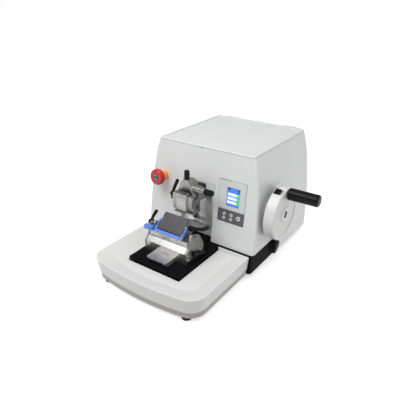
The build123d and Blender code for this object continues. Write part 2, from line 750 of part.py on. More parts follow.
def make_drive_shaft():
    """Main shaft with its toothed pulley and the socketed end that shows in the handwheel."""
    half = PULLEY_WIDTH / 2
    shaft = rod_x(SHAFT_RADIUS, CRANK_FACE, WHEEL_BACK, SHAFT_Y, SHAFT_Z)
    shaft += rod_x(SHAFT_HUB_RADIUS, WHEEL_BACK - 1.5, WHEEL_FACE + 0.4, SHAFT_Y, SHAFT_Z)
    shaft -= rod_x(SHAFT_HUB_RADIUS - 2.7, WHEEL_FACE - 9, WHEEL_FACE + 1, SHAFT_Y, SHAFT_Z)
    shaft += rod_x(PULLEY_RADIUS, PULLEY_X - half, PULLEY_X + half, SHAFT_Y, SHAFT_Z)
    for side in (-1, 1):
        edge = PULLEY_X + side * (half + 1)
        shaft += rod_x(PULLEY_RADIUS + 3.5, edge - 1, edge + 1, SHAFT_Y, SHAFT_Z)
    return shaft


def make_crank_disc():
    disc_body = rod_x(CRANK_DISC_RADIUS, CRANK_FACE, CRANK_FACE + CRANK_THICK, SHAFT_Y, SHAFT_Z)
    disc_body = fillet(disc_body.edges(), 1.0)
    disc_body -= rod_x(SHAFT_RADIUS + SEAT, CRANK_FACE - 1, CRANK_FACE + CRANK_THICK + 1, SHAFT_Y, SHAFT_Z)
    weight_cut = block(CRANK_FACE - 1, CRANK_FACE + CRANK_THICK + 1, SHAFT_Y + 14, SHAFT_Y + 30,
                       SHAFT_Z + 4, SHAFT_Z + 22)
    weight_cut += block(CRANK_FACE - 1, CRANK_FACE + CRANK_THICK + 1, SHAFT_Y - 30, SHAFT_Y - 14,
                        SHAFT_Z + 4, SHAFT_Z + 22)
    disc_body -= weight_cut
    pin = rod_x(CRANK_PIN_RADIUS, CARRIAGE_RIGHT + 0.8, CRANK_FACE, SHAFT_Y, SHAFT_Z + CRANK_RADIUS)
    return disc_body + pin


def make_handwheel():
    rim_in = WHEEL_RADIUS - WHEEL_RIM
    wheel = rod_x(WHEEL_RADIUS, WHEEL_BACK, WHEEL_FACE, SHAFT_Y, SHAFT_Z)
    wheel = fillet(wheel.edges(), 3.0)
    cavity = rod_x(rim_in, WHEEL_BACK - 1, WHEEL_FACE - WHEEL_WEB, SHAFT_Y, SHAFT_Z)
    cavity -= rod_x(WHEEL_HUB_RADIUS, WHEEL_BACK - 2, WHEEL_FACE, SHAFT_Y, SHAFT_Z)
    wheel -= cavity
    dish = rod_x(rim_in - 3, WHEEL_FACE - 1.6, WHEEL_FACE + 1, SHAFT_Y, SHAFT_Z)
    dish = dish - rod_x(WHEEL_HUB_RADIUS, WHEEL_FACE - 3, WHEEL_FACE + 2, SHAFT_Y, SHAFT_Z)
    wheel -= fillet(dish.edges().group_by(Axis.X)[0], 1.2)
    wheel -= rod_x(SHAFT_HUB_RADIUS + SEAT, WHEEL_BACK - 3, WHEEL_FACE + 1, SHAFT_Y, SHAFT_Z)
    wheel += raised_pad()
    turn = Pos(0, SHAFT_Y, SHAFT_Z) * Rot(CATCH_ANGLE - 90, 0, 0)
    floor = WHEEL_RADIUS - CATCH_DEPTH
    wheel -= turn * block(WHEEL_BACK + 3, WHEEL_FACE - 2.5, -CATCH_WIDTH / 2, CATCH_WIDTH / 2,
                          floor, WHEEL_RADIUS + 6)
    grip_y, grip_z = grip_centre()
    wheel += rod_x(9.0, WHEEL_FACE - WHEEL_WEB, WHEEL_FACE, grip_y, grip_z)
    wheel += rod_x(SPINDLE_RADIUS, WHEEL_FACE - 2, WHEEL_FACE + GRIP_LENGTH - 6, grip_y, grip_z)
    return wheel


def raised_pad():
    """Raised stretch of the rear rim that the wheel's lock rides on."""
    ring = rod_x(WHEEL_RAISED, WHEEL_BACK + 0.5, WHEEL_BACK + 4.5, SHAFT_Y, SHAFT_Z)
    ring -= rod_x(WHEEL_RADIUS - 4, WHEEL_BACK - 1, WHEEL_BACK + 6, SHAFT_Y, SHAFT_Z)
    reach = WHEEL_RAISED * 2
    wedge = [(0, 0)]
    for angle in (48.0, 72.0, 96.0):
        wedge.append((reach * cos(radians(angle)), reach * sin(radians(angle))))
    sector = Pos(0, SHAFT_Y, SHAFT_Z) * prism_x(wedge, WHEEL_BACK - 2, WHEEL_BACK + 8)
    return ring & sector


def grip_centre():
    return (SHAFT_Y + GRIP_ARM * cos(radians(GRIP_ANGLE)), SHAFT_Z + GRIP_ARM * sin(radians(GRIP_ANGLE)))


def make_wheel_grip():
    grip_y, grip_z = grip_centre()
    start = WHEEL_FACE + 1.0
    end = WHEEL_FACE + GRIP_LENGTH
    grip = rod_x(GRIP_RADIUS, start, end, grip_y, grip_z)
    grip = fillet(grip.edges().group_by(Axis.X)[0], 2.5)
    grip = fillet(grip.edges().group_by(Axis.X)[-1], 4.0)
    ring = rod_x(GRIP_RADIUS + 1, end - 6.6, end - 5.8, grip_y, grip_z)
    ring -= rod_x(GRIP_RADIUS - 0.6, end - 8, end - 4, grip_y, grip_z)
    grip -= ring
    grip -= rod_x(SPINDLE_RADIUS + RUN, start - 1, end - 5, grip_y, grip_z)
    return grip


def make_wheel_catch():
    """Ribbed slider in the pocket of the wheel's rim."""
    floor = WHEEL_RADIUS - CATCH_DEPTH
    left = WHEEL_BACK + 3 + GAP
    top = WHEEL_RADIUS + CATCH_PROUD
    catch = block(left, left + 13, -CATCH_WIDTH / 2 + GAP, CATCH_WIDTH / 2 - GAP, floor + 0.2, top)
    for row in (-1, 0, 1):
        y = row * 4.4
        catch -= block(left - 1, left + 14, y - 0.8, y + 0.8, top - 1.2, top + 1)
    return Pos(0, SHAFT_Y, SHAFT_Z) * Rot(CATCH_ANGLE - 90, 0, 0) * catch


def make_drive_motor():
    end = PULLEY_X - PULLEY_WIDTH / 2 - 5
    body = rod_x(MOTOR_RADIUS, end - MOTOR_LENGTH, end - 4, MOTOR_Y, MOTOR_Z)
    body = fillet(body.edges().group_by(Axis.X)[0], 3)
    plate = block(end - 4, end, MOTOR_Y - 32, MOTOR_Y + 32, HOUSING_LOW, MOTOR_Z + 32)
    plate = fillet(plate.edges().filter_by(Axis.X).sort_by(Axis.Z)[-2:], 10)
    foot = block(end - 40, end, MOTOR_Y - 32, MOTOR_Y + 32, HOUSING_LOW, HOUSING_LOW + 5)
    motor = body + plate + foot
    motor -= rod_x(4 + RUN, end - 14, end + 1, MOTOR_Y, MOTOR_Z)
    return motor


def make_motor_pulley():
    half = PULLEY_WIDTH / 2
    end = PULLEY_X - half - 5
    pulley = rod_x(MOTOR_PULLEY_RADIUS, PULLEY_X - half, PULLEY_X + half, MOTOR_Y, MOTOR_Z)
    for side in (-1, 1):
        edge = PULLEY_X + side * (half + 1)
        pulley += rod_x(MOTOR_PULLEY_RADIUS + 3, edge - 1, edge + 1, MOTOR_Y, MOTOR_Z)
    pulley += rod_x(4, end - 12, PULLEY_X + half + 3, MOTOR_Y, MOTOR_Z)
    return pulley


def belt_loop(grow):
    """Outline of the belt: both pulleys grown by the same amount and joined by tangents."""
    large = PULLEY_RADIUS + grow
    small = MOTOR_PULLEY_RADIUS + grow
    span = hypot(MOTOR_Y - SHAFT_Y, MOTOR_Z - SHAFT_Z)
    heading = atan2(MOTOR_Z - SHAFT_Z, MOTOR_Y - SHAFT_Y)
    lean = atan2(sqrt(span ** 2 - (large - small) ** 2), large - small)
    corners = []
    for turn in (heading + lean, heading - lean):
        for radius, y, z in ((large, SHAFT_Y, SHAFT_Z), (small, MOTOR_Y, MOTOR_Z)):
            corners.append((y + radius * cos(turn), z + radius * sin(turn)))
    a, b, c, d = corners
    band = make_face(Polyline(a, b, d, c, close=True))
    return band + Pos(SHAFT_Y, SHAFT_Z) * Circle(large) + Pos(MOTOR_Y, MOTOR_Z) * Circle(small)


def make_drive_belt():
    face = belt_loop(GAP + BELT_THICK) - belt_loop(GAP)
    width = PULLEY_WIDTH - 1.5
    return Pos(PULLEY_X - width / 2, 0, 0) * extrude(Plane.YZ * face, amount=width)


LOCK_Y = 77.0
LOCK_Z = 49.0
LOCK_CLEAR = 4.0
LOCK_THICK = 10.0
LOCK_WIDTH = 17.0
LOCK_HUB = 5.0


def make_base_lock_lever():
    """Rounded lever on the side of the base, hanging from its hub."""
    near = BASE_HALF + LOCK_CLEAR
    out = near + LOCK_THICK
    outline = Plane.YZ * Pos(LOCK_Y, LOCK_Z - 12) * RectangleRounded(LOCK_WIDTH, 38.0, 7.0)
    paddle = Pos(near, 0, 0) * extrude(outline, amount=LOCK_THICK)
    paddle -= prism_y([(out - 6, LOCK_Z - 33), (out, LOCK_Z - 6), (out + 2, LOCK_Z - 6),
                       (out + 2, LOCK_Z - 33)], LOCK_Y - LOCK_WIDTH, LOCK_Y + LOCK_WIDTH)
    paddle -= block(out - 0.8, out + 1, LOCK_Y - 1, LOCK_Y + 1, LOCK_Z - 4, LOCK_Z + 5)
    return paddle + rod_x(LOCK_HUB, BASE_HALF - 5, near + 1, LOCK_Y, LOCK_Z)


# Carriage and specimen feed

def make_carriage_block():
    body = block(CARRIAGE_LEFT, CARRIAGE_RIGHT, CARRIAGE_FRONT, CARRIAGE_REAR, CARRIAGE_LOW, CARRIAGE_TOP)
    body = fillet(body.edges().filter_by(Axis.Z), 3.0)
    body += rod_y(SLEEVE_RADIUS, ARM_X, SLEEVE_FRONT, CARRIAGE_FRONT, ARM_Z)
    collar = fillet(body.edges().group_by(Axis.Y)[0], 1.2)
    body = collar
    body -= rod_y(PISTON_RADIUS + RUN, ARM_X, SLEEVE_FRONT - 1, PISTON_REAR + 2, ARM_Z)
    body -= rod_y(SCREW_RADIUS + RUN, ARM_X, PISTON_REAR, CARRIAGE_REAR + 1, ARM_Z)
    for x in frame_rods():
        body -= rod_z(ROD_RADIUS + RUN, x, ROD_Y, CARRIAGE_LOW - 1, CARRIAGE_TOP + 1)
    reach = CRANK_RADIUS + CRANK_PIN_RADIUS + 1
    top_z = SHAFT_Z + CRANK_RADIUS
    slot = block(CARRIAGE_RIGHT - 6, CARRIAGE_RIGHT + 1, SHAFT_Y - reach, CARRIAGE_REAR + 1,
                 top_z - CRANK_PIN_RADIUS - RUN, top_z + CRANK_PIN_RADIUS + RUN)
    return body - slot


def make_dust_shutter():
    left, right = ARM_X - SHUTTER_HALF, ARM_X + SHUTTER_HALF
    front, rear = SHUTTER_Y, SHUTTER_Y + SHUTTER_THICK
    plate = block(left, right, front, rear, SHUTTER_LOW, SHUTTER_TOP)
    pitch = 4.0
    rows = int((SHUTTER_TOP - SHUTTER_LOW) / pitch) - 1
    for row in range(rows):
        z = SHUTTER_LOW + pitch * (row + 1)
        plate -= block(left - 1, right + 1, front - 1, front + 0.7, z - 0.8, z + 0.8)
    plate -= rod_y(SLEEVE_RADIUS + SEAT, ARM_X, front - 1, rear + 1, ARM_Z)
    spacer = CARRIAGE_FRONT - rear
    if spacer > 0.01:
        for side in (-1, 1):
            plate += block(ARM_X + side * 22 - 2, ARM_X + side * 22 + 2, rear - 0.1, CARRIAGE_FRONT,
                           ARM_Z - 15, ARM_Z + 15)
    return plate


def make_feed_motor():
    half = FEED_MOTOR_SIZE / 2
    body = block(ARM_X - half, ARM_X + half, CARRIAGE_REAR, CARRIAGE_REAR + FEED_MOTOR_LENGTH,
                 ARM_Z - half, ARM_Z + half)
    body = fillet(body.edges().filter_by(Axis.Y), 5.0)
    body -= rod_y(SCREW_RADIUS + RUN, ARM_X, CARRIAGE_REAR - 1, CARRIAGE_REAR + 12, ARM_Z)
    return body


def make_feed_screw():
    screw = rod_y(SCREW_RADIUS, ARM_X, SCREW_FRONT, CARRIAGE_REAR + 11, ARM_Z)
    return chamfer(screw.edges(), 0.6)


def make_feed_piston():
    piston = rod_y(PISTON_RADIUS, ARM_X, HEAD_BACK, PISTON_REAR, ARM_Z)
    piston = chamfer(piston.edges().group_by(Axis.Y)[-1], 1.0)
    depth = SCREW_FRONT - FEED_TRAVEL
    return piston - rod_y(SCREW_RADIUS + RUN, ARM_X, HEAD_BACK + 10, PISTON_REAR + 1, ARM_Z)


# Specimen head

def arch_form(y0, y1, low, high):
    """Front outline of the head's casting, rounded at the top, kept between two heights."""
    left, right = ARM_X - HEAD_HALF, ARM_X + HEAD_HALF
    inner_left, inner_right = ARM_X - ARCH_HALF, ARM_X + ARCH_HALF
    form = prism_y([(left, HEAD_LOW), (right, HEAD_LOW), (right, TOP_ARM_LOW), (inner_right, ARCH_Z),
                    (inner_left, ARCH_Z), (left, TOP_ARM_LOW)], y0, y1)
    form += rod_y(ARCH_HALF, ARM_X, y0, y1, ARCH_Z)
    return form & block(left - 1, right + 1, y0, y1, low, high)


def make_head_mount():
    rear = HEAD_BACK
    front = HEAD_BACK - HEAD_PLATE
    body = arch_form(front, rear, HEAD_LOW, ARCH_Z + ARCH_HALF)
    body += arch_form(HEAD_ARM_FRONT, front, TOP_ARM_LOW, ARCH_Z + ARCH_HALF)
    body += arch_form(HEAD_ARM_FRONT, front, HEAD_LOW, LOW_ARM_TOP)
    front_edges = body.edges().group_by(Axis.Y)[0]
    body = fillet(front_edges, 2.0)
    body += rod_x(9.0, ARM_X + 10, SIDE_BOSS_END, SIDE_KNOB_Y, SIDE_KNOB_Z)
    body += rod_x(7.5, SIDE_BOSS_END, SIDE_COLLAR_END, SIDE_KNOB_Y, SIDE_KNOB_Z)
    body -= rod_x(3.0 + RUN, SIDE_BOSS_END - 10, SIDE_COLLAR_END + 1, SIDE_KNOB_Y, SIDE_KNOB_Z)
    crown = ARCH_Z + ARCH_HALF
    body += rod_z(7.0, ARM_X, PIVOT_Y, crown - 8, crown + 1.5)
    body -= rod_z(3.0 + RUN, ARM_X, PIVOT_Y, crown - 12, crown + 3)
    for z0, z1 in ((TOP_ARM_LOW - 1, TOP_ARM_LOW + 6), (LOW_ARM_TOP - 6, LOW_ARM_TOP + 1)):
        body -= rod_z(PIVOT_RADIUS + RUN, ARM_X, PIVOT_Y, z0, z1)
    return body


def make_swivel_ring():
    left, right = ARM_X - HEAD_HALF, ARM_X + HEAD_HALF
    body = block(left, right, RING_FRONT, RING_REAR, LOW_ARM_TOP + GAP, TOP_ARM_LOW - GAP)
    body = fillet(body.edges().filter_by(Axis.Z), 3.0)
    window = block(left + 8, right - 8, RING_FRONT - 1, RING_REAR + 1, LOW_ARM_TOP + 9, TOP_ARM_LOW - 9)
    body -= fillet(window.edges().filter_by(Axis.Y), 5.0)
    body += rod_z(PIVOT_RADIUS, ARM_X, PIVOT_Y, TOP_ARM_LOW - 2, TOP_ARM_LOW + 5.7)
    body += rod_z(PIVOT_RADIUS, ARM_X, PIVOT_Y, LOW_ARM_TOP - 5.7, LOW_ARM_TOP + 2)
    pin = EAR_THICK + GAP
    body += rod_x(PIVOT_RADIUS, left - pin, left + 2, PIVOT_Y, ARM_Z)
    body += rod_x(PIVOT_RADIUS, right - 2, right + pin, PIVOT_Y, ARM_Z)
    return body


CLAMP_SHAFT_Y = -74.5
CLAMP_SHAFT_Z = 189.0
CLAMP_SHAFT = 2.4


def make_specimen_clamp():
    """Tilting carrier with its two ears, the clamp's floor and the fixed lower jaw."""
    left = ARM_X - HEAD_HALF - GAP
    right = ARM_X + HEAD_HALF + GAP
    body = block(left - EAR_THICK, right + EAR_THICK, CARRIER_FRONT, CARRIER_REAR, CARRIER_LOW, CARRIER_TOP)
    body = fillet(body.edges().filter_by(Axis.Y), 4.0)
    for x0 in (left - EAR_THICK, right):
        ear = block(x0, x0 + EAR_THICK, CARRIER_FRONT + 1, PIVOT_Y, ARM_Z - 8, ARM_Z + 8)
        ear += rod_x(8.0, x0, x0 + EAR_THICK, PIVOT_Y, ARM_Z)
        body += ear
        body -= rod_x(PIVOT_RADIUS + RUN, x0 - 1, x0 + EAR_THICK + 1, PIVOT_Y, ARM_Z)
    body += block(ARM_X - CLAMP_HALF, ARM_X + CLAMP_HALF, CLAMP_FACE_Y - 1, CARRIER_FRONT + 0.5,
                  CLAMP_LOW, CARRIER_TOP)
    jaw = block(ARM_X - CLAMP_HALF - 1, ARM_X + CLAMP_HALF + 1, JAW_FRONT, CARRIER_FRONT + 0.5,
                CLAMP_LOW, JAW_LOW_TOP)
    body += fillet(jaw.edges().filter_by(Axis.Z).sort_by(Axis.Y)[:2], 1.5)
    body -= rod_x(CLAMP_SHAFT + RUN, left - EAR_THICK - 1, ARM_X, CLAMP_SHAFT_Y, CLAMP_SHAFT_Z)
    return body


def make_clamp_face():
    """Pale pad that the specimen cassette is pressed against."""
    pad = block(ARM_X - CLAMP_HALF + 2, ARM_X + CLAMP_HALF - 2, CLAMP_FACE_Y - 2.4, CLAMP_FACE_Y - 1,
                JAW_LOW_TOP + 0.5, CARRIER_TOP - 6)
    return fillet(pad.edges().filter_by(Axis.Y), 2.0)


def make_clamp_jaw():
    left, right = ARM_X - JAW_HALF, ARM_X + JAW_HALF
    plate = block(left, right, JAW_FRONT, JAW_REAR, CARRIER_TOP + GAP, JAW_TOP)
    plate = fillet(plate.edges().filter_by(Axis.Z).sort_by(Axis.Y)[:2], 3.0)
    lip = block(left, right, JAW_FRONT, JAW_FRONT + 4, CARRIER_TOP - 5, CARRIER_TOP + GAP)
    lip = fillet(lip.edges().filter_by(Axis.Z).sort_by(Axis.Y)[:2], 3.0)
    jaw = plate + lip
    screw = rod_z(2.2, ARM_X - 1, JAW_FRONT + 6, JAW_TOP - 2, JAW_TOP + 0.8)
    jaw -= rod_z(2.2 + SEAT, ARM_X - 1, JAW_FRONT + 6, JAW_TOP - 2, JAW_TOP + 1)
    return jaw + screw


def make_clamp_lever():
    left = ARM_X - HEAD_HALF - GAP - EAR_THICK
    hub = rod_x(5.0, left - 6.5, left - GAP, CLAMP_SHAFT_Y, CLAMP_SHAFT_Z)
    hub += rod_x(CLAMP_SHAFT, left - 1, ARM_X - 2, CLAMP_SHAFT_Y, CLAMP_SHAFT_Z)
    arm = lever_arm(36.0, 6.0, 8.6, 6.0, 2.0)
    lean = degrees(atan2(24, 22))
    arm = Plane(origin=(0, 0, 0), x_dir=(0, 1, 0), z_dir=(-1, 0, 0)) * arm
    arm = Rot(lean, 0, 0) * arm
    tail = block(-2.2, 2.2, -3, 3, -13, 0)
    tail = fillet(tail.edges().filter_by(Axis.X).sort_by(Axis.Z)[:2], 2.0)
    hand = arm + tail
    return hub + Pos(left - 3.3, CLAMP_SHAFT_Y, CLAMP_SHAFT_Z) * hand


def make_orient_knob_top():
    crown = ARCH_Z + ARCH_HALF + 1.5
    knob = Pos(ARM_X, PIVOT_Y, crown + GAP) * fluted(TOP_KNOB_RADIUS, TOP_KNOB_HEIGHT, 12, 0.7)
    return knob + rod_z(3.0, ARM_X, PIVOT_Y, crown - 11, crown + 2)


def make_orient_knob_side():
    knob = Rot(0, 90, 0) * fluted(SIDE_KNOB_RADIUS, SIDE_KNOB_LENGTH, 12, 0.8)
    knob = Pos(SIDE_COLLAR_END + GAP, SIDE_KNOB_Y, SIDE_KNOB_Z) * knob
    return knob + rod_x(3.0, SIDE_BOSS_END - 8, SIDE_COLLAR_END + 2, SIDE_KNOB_Y, SIDE_KNOB_Z)


# Knife holder

def make_t_rail():
    left, right = ARM_X - RAIL_HALF, ARM_X + RAIL_HALF
    rail = block(left, right, RAIL_FRONT, RAIL_REAR, PLATE_TOP, RAIL_TOP)
    rail = fillet(rail.edges().filter_by(Axis.Z).sort_by(Axis.Y)[:2], 5.0)
    for edge in (left, right):
        rail -= block(edge - 3, edge + 3, RAIL_FRONT - 1, RAIL_REAR + 1, PLATE_TOP + 2.7, PLATE_TOP + 5.7)
    return rail - block(left - 1, right + 1, RAIL_FRONT - 1, RAIL_FRONT + 4, PLATE_TOP - 1, PLATE_TOP + 5.0)


def holder_profile(front, rear):
    """Side view of the sliding base under the rocking segment."""
    seat = SEGMENT_RADIUS + GAP
    chamfer_y = HOLDER_FRONT + 10.5
    chamfer_z = edge_arc(seat, chamfer_y)
    low = PLATE_TOP + GAP
    outline = [
        Line((rear, low), (front, low)),
        Line((front, low), (front, chamfer_z - 10)),
        Line((front, chamfer_z - 10), (chamfer_y, chamfer_z)),
        ThreePointArc((chamfer_y, chamfer_z), (EDGE_Y, EDGE_Z - seat), (rear, edge_arc(seat, rear))),
        Line((rear, edge_arc(seat, rear)), (rear, low)),
    ]
    return make_face(outline)


LOCK_SHAFT_Y = -118.0
LOCK_SHAFT_Z = 79.0


def make_holder_base():
    left, right = HOLDER_LEFT + CHEEK, HOLDER_RIGHT - CHEEK
    body = Pos(left, 0, 0) * extrude(Plane.YZ * holder_profile(HOLDER_FRONT, HOLDER_REAR), amount=right - left)
    rail_left, rail_right = ARM_X - RAIL_HALF, ARM_X + RAIL_HALF
    body -= block(rail_left - RUN, rail_right + RUN, HOLDER_FRONT - 1, HOLDER_REAR + 1,
                  PLATE_TOP, RAIL_TOP + RUN)
    for side, edge in ((1, rail_left - RUN), (-1, rail_right + RUN)):
        near, far = sorted((edge - side * 1, edge + side * 2.6))
        body += block(near, far, HOLDER_FRONT + 2, HOLDER_REAR - 2, PLATE_TOP + 3.0, PLATE_TOP + 5.4)
    body -= rod_x(LEVER_BORE + RUN, rail_right + 6, right + 1, LOCK_SHAFT_Y, LOCK_SHAFT_Z)
    return body


def cheek_outline():
    seat = SEGMENT_RADIUS + GAP
    chamfer_y = HOLDER_FRONT + 10.5
    chamfer_z = edge_arc(seat, chamfer_y)
    low = PLATE_TOP + GAP
    return [(HOLDER_FRONT, low), (HOLDER_FRONT, chamfer_z - 10), (chamfer_y, chamfer_z), (-127.0, 113.0),
            (-124.0, 131.0), (-94.0, 117.0), (-79.0, 90.0), (-79.0, low)]


def make_holder_cheeks():
    """End plates with the curved slot for the angle clamp."""
    plates = []
    for x0 in (HOLDER_LEFT, HOLDER_RIGHT - CHEEK):
        plate = prism_x(cheek_outline(), x0, x0 + CHEEK)
        tops = plate.edges().filter_by(Axis.X).filter_by(lambda e: e.center().Y > -126 and e.center().Z > 80)
        plate = fillet(tops, 7.0)
        plate -= Pos(x0 - 1, EDGE_Y, EDGE_Z) * arc_slot(SLOT_RADIUS, LEVER_BORE + GAP, SLOT_ANGLE,
                                                        ANGLE_RANGE + 2.0, CHEEK + 2)
        if x0 > 0:
            plate -= rod_x(LEVER_BORE + RUN, x0 - 1, x0 + CHEEK + 1, LOCK_SHAFT_Y, LOCK_SHAFT_Z)
        plates.append(plate)
    return Compound(children=plates)


def arc_slot(radius, half_width, middle, spread, depth):
    """Curved slot in the YZ plane about the origin, cut along +X."""
    outer = rod_x(radius + half_width, 0, depth, 0, 0)
    ring = outer - rod_x(radius - half_width, -1, depth + 1, 0, 0)
    reach = radius * 2
    wedge = [(0, 0)]
    for angle in (middle - spread, middle, middle + spread):
        wedge.append((reach * cos(radians(angle)), reach * sin(radians(angle))))
    slot = ring & prism_x(wedge, -1, depth + 1)
    for angle in (middle - spread, middle + spread):
        y, z = radius * cos(radians(angle)), radius * sin(radians(angle))
        slot += rod_x(half_width, 0, depth, y, z)
    return slot


def angle_bolt():
    """(y, z) of the angle clamp's bolt."""
    return (EDGE_Y + SLOT_RADIUS * cos(radians(SLOT_ANGLE)), EDGE_Z + SLOT_RADIUS * sin(radians(SLOT_ANGLE)))


GROOVE_WIDTH = 10.0
GROOVE_DEPTH = 5.0
GROOVE_Y = -112.0


def make_segment():
    """Rocking segment: round below, with the cross groove for the blade carriage above."""
    left, right = HOLDER_LEFT + CHEEK + GAP, HOLDER_RIGHT - CHEEK - GAP
    rear = HOLDER_REAR - 2.5
    rear_top = EDGE_Y + 1.5
    outline = [
        Line((SEGMENT_FRONT, SEGMENT_TOP), (SEGMENT_FRONT, edge_arc(SEGMENT_RADIUS, SEGMENT_FRONT))),
        ThreePointArc((SEGMENT_FRONT, edge_arc(SEGMENT_RADIUS, SEGMENT_FRONT)),
                      (EDGE_Y, EDGE_Z - SEGMENT_RADIUS), (rear, edge_arc(SEGMENT_RADIUS, rear))),
        Line((rear, edge_arc(SEGMENT_RADIUS, rear)), (rear_top, SEGMENT_TOP - SEGMENT_STEP)),
        Line((rear_top, SEGMENT_TOP - SEGMENT_STEP), (rear_top, SEGMENT_TOP)),
        Line((rear_top, SEGMENT_TOP), (SEGMENT_FRONT, SEGMENT_TOP)),
    ]
    body = Pos(left, 0, 0) * extrude(Plane.YZ * make_face(outline), amount=right - left)
    for z in (SEGMENT_TOP - 3.6, SEGMENT_TOP - 8.6):
        body -= block(left - 1, right + 1, SEGMENT_FRONT - 1, SEGMENT_FRONT + 1.2, z - 0.7, z + 0.7)
    body -= block(left - 1, right + 1, GROOVE_Y - GROOVE_WIDTH / 2 - RUN, GROOVE_Y + GROOVE_WIDTH / 2 + RUN,
                  SEGMENT_TOP - GROOVE_DEPTH - GAP, SEGMENT_TOP + 1)
    y, z = angle_bolt()
    ear = rod_x(6.5, left, left + 5.5, y, z) + block(left, left + 5.5, y - 6.5, y + 6.5, SEGMENT_TOP - 10, z)
    body += ear
    body -= rod_x(LEVER_BORE + RUN, left - 1, left + 7, y, z)
    return body


ECCENTRIC = (-105.0, 133.0)


def make_blade_carriage():
    """Cross carriage with the sloping back plate that the blade lies on."""
    left, right = CARRIER_X - CARRIER_HALF, CARRIER_X + CARRIER_HALF
    bottom = SEGMENT_TOP + GAP
    body = prism_x([knife(1.2, -0.3), knife(PRESS_LENGTH + 1, -0.3), (knife(PRESS_LENGTH + 1, 0)[0], bottom),
                    (EDGE_Y + 3.0, bottom), (EDGE_Y + 1.6, EDGE_Z - 5.0)], left, right)
    body += block(left, right, GROOVE_Y - GROOVE_WIDTH / 2, GROOVE_Y + GROOVE_WIDTH / 2,
                  SEGMENT_TOP - GROOVE_DEPTH, bottom + 1)
    hinge_y, hinge_z = press_hinge()
    for x0 in (left, right - 1.7):
        body += rod_x(3.2, x0, x0 + 1.7, hinge_y, hinge_z)
        body -= rod_x(1.2 + RUN, x0 - 1, x0 + 2.7, hinge_y, hinge_z)
    body -= rod_x(2.8, left + 1.7, right - 1.7, hinge_y, hinge_z)
    body -= rod_x(LEVER_BORE + RUN, left + 8, right + 1, ECCENTRIC[0], ECCENTRIC[1])
    pivot_y, pivot_z = knife(GUARD_PIVOT, GUARD_OFF)
    anchor = prism_x([knife(GUARD_PIVOT - 4, -1), knife(GUARD_PIVOT + 4, -1), knife(GUARD_PIVOT + 3, 4),
                      knife(GUARD_PIVOT - 3, 4)], 0, 1.7)
    for x0, out in ((left, -1), (right - 1.7, 1)):
        body += Pos(x0, 0, 0) * anchor
        far = GUARD_THICK + GAP
        span = sorted((x0 + (0.5 if out < 0 else 1.2), (left if out < 0 else right) + out * far))
        body += rod_x(1.5, span[0], span[1], pivot_y, pivot_z)
    return body


def press_hinge():
    return knife(PRESS_LENGTH - 0.7, 1.9)


def make_pressure_plate():
    """Plate that clamps the blade, hinged at its lower end."""
    left = CARRIER_X - CARRIER_HALF + 1.7 + GAP
    right = CARRIER_X + CARRIER_HALF - 1.7 - GAP
    thin = BLADE_THICK / 2 + 0.15
    plate = prism_x([knife(1.0, thin), knife(PRESS_LENGTH - 1, thin), knife(PRESS_LENGTH - 1, thin + PRESS_THICK),
                     knife(2.4, thin + PRESS_THICK)], left, right)
    hinge_y, hinge_z = press_hinge()
    plate += rod_x(2.4, left, right, hinge_y, hinge_z)
    plate += rod_x(1.2, left - 1.7, right + 1.7, hinge_y, hinge_z)
    return plate


def make_blade():
    left, right = CARRIER_X - CARRIER_HALF + 3, CARRIER_X + CARRIER_HALF - 3
    half = BLADE_THICK / 2
    return prism_x([knife(0, 0), knife(0.9, half), knife(BLADE_WIDTH, half), knife(BLADE_WIDTH, -half),
                    knife(0.9, -half)], left, right)


def make_knife_guard():
    """Finger guard: a bar on two arms that swings up over the edge."""
    left, right = CARRIER_X - CARRIER_HALF - GAP, CARRIER_X + CARRIER_HALF + GAP
    pivot_y, pivot_z = knife(GUARD_PIVOT, GUARD_OFF)
    low, high = -1.0, 4.0
    bar_near, bar_far = PRESS_LENGTH + 3.0, PRESS_LENGTH + 9.5
    bar = prism_x([knife(bar_near, low), knife(bar_far, low), knife(bar_far, high), knife(bar_near, high)],
                  left - GUARD_THICK, right + GUARD_THICK)
    guard = bar
    for x0 in (left - GUARD_THICK, right):
        arm = prism_x([knife(GUARD_PIVOT, low), knife(bar_far, low), knife(bar_far, high),
                       knife(GUARD_PIVOT, high)], x0, x0 + GUARD_THICK)
        guard += arm + rod_x(2.5, x0, x0 + GUARD_THICK, pivot_y, pivot_z)
        guard -= rod_x(1.5 + RUN, x0 - 1, x0 + GUARD_THICK + 1, pivot_y, pivot_z)
    return guard


def make_shift_grip():
    """Blue finger grip that pushes the blade carriage sideways."""
    left = CARRIER_X - CARRIER_HALF
    front, low = SEGMENT_FRONT - 8, SEGMENT_TOP + 4
    grip = block(left - 32, left - 8, front, front + 9.5, low, low + 9)
    grip = fillet(grip.edges().filter_by(Axis.Z), 1.5)
    tongue = block(left - 10, left, front + 9, front + 12, SEGMENT_TOP + GAP, SEGMENT_TOP + 2.4)
    riser = block(left - 12, left - 8, front + 8.5, front + 11, SEGMENT_TOP + GAP, low + 2)
    return grip + tongue + riser


def hub_with_shaft(radius, x0, x1, inner, y, z):
    """Lever hub from x0 to x1 with its shaft reaching to inner."""
    return rod_x(radius, x0, x1, y, z) + rod_x(LEVER_BORE, min(inner, x0 + 1), max(inner, x1 - 1), y, z)


def swung_arm(length, root, tip, thick, rise, side, lean, origin):
    """Handle in a plane across X: lean is its angle up from +Y, side is where it bends out."""
    arm = lever_arm(length, root, tip, thick, rise)
    arm = Plane(origin=(0, 0, 0), x_dir=(0, 1, 0), z_dir=(side, 0, 0)) * arm
    return Pos(*origin) * Rot(lean, 0, 0) * arm


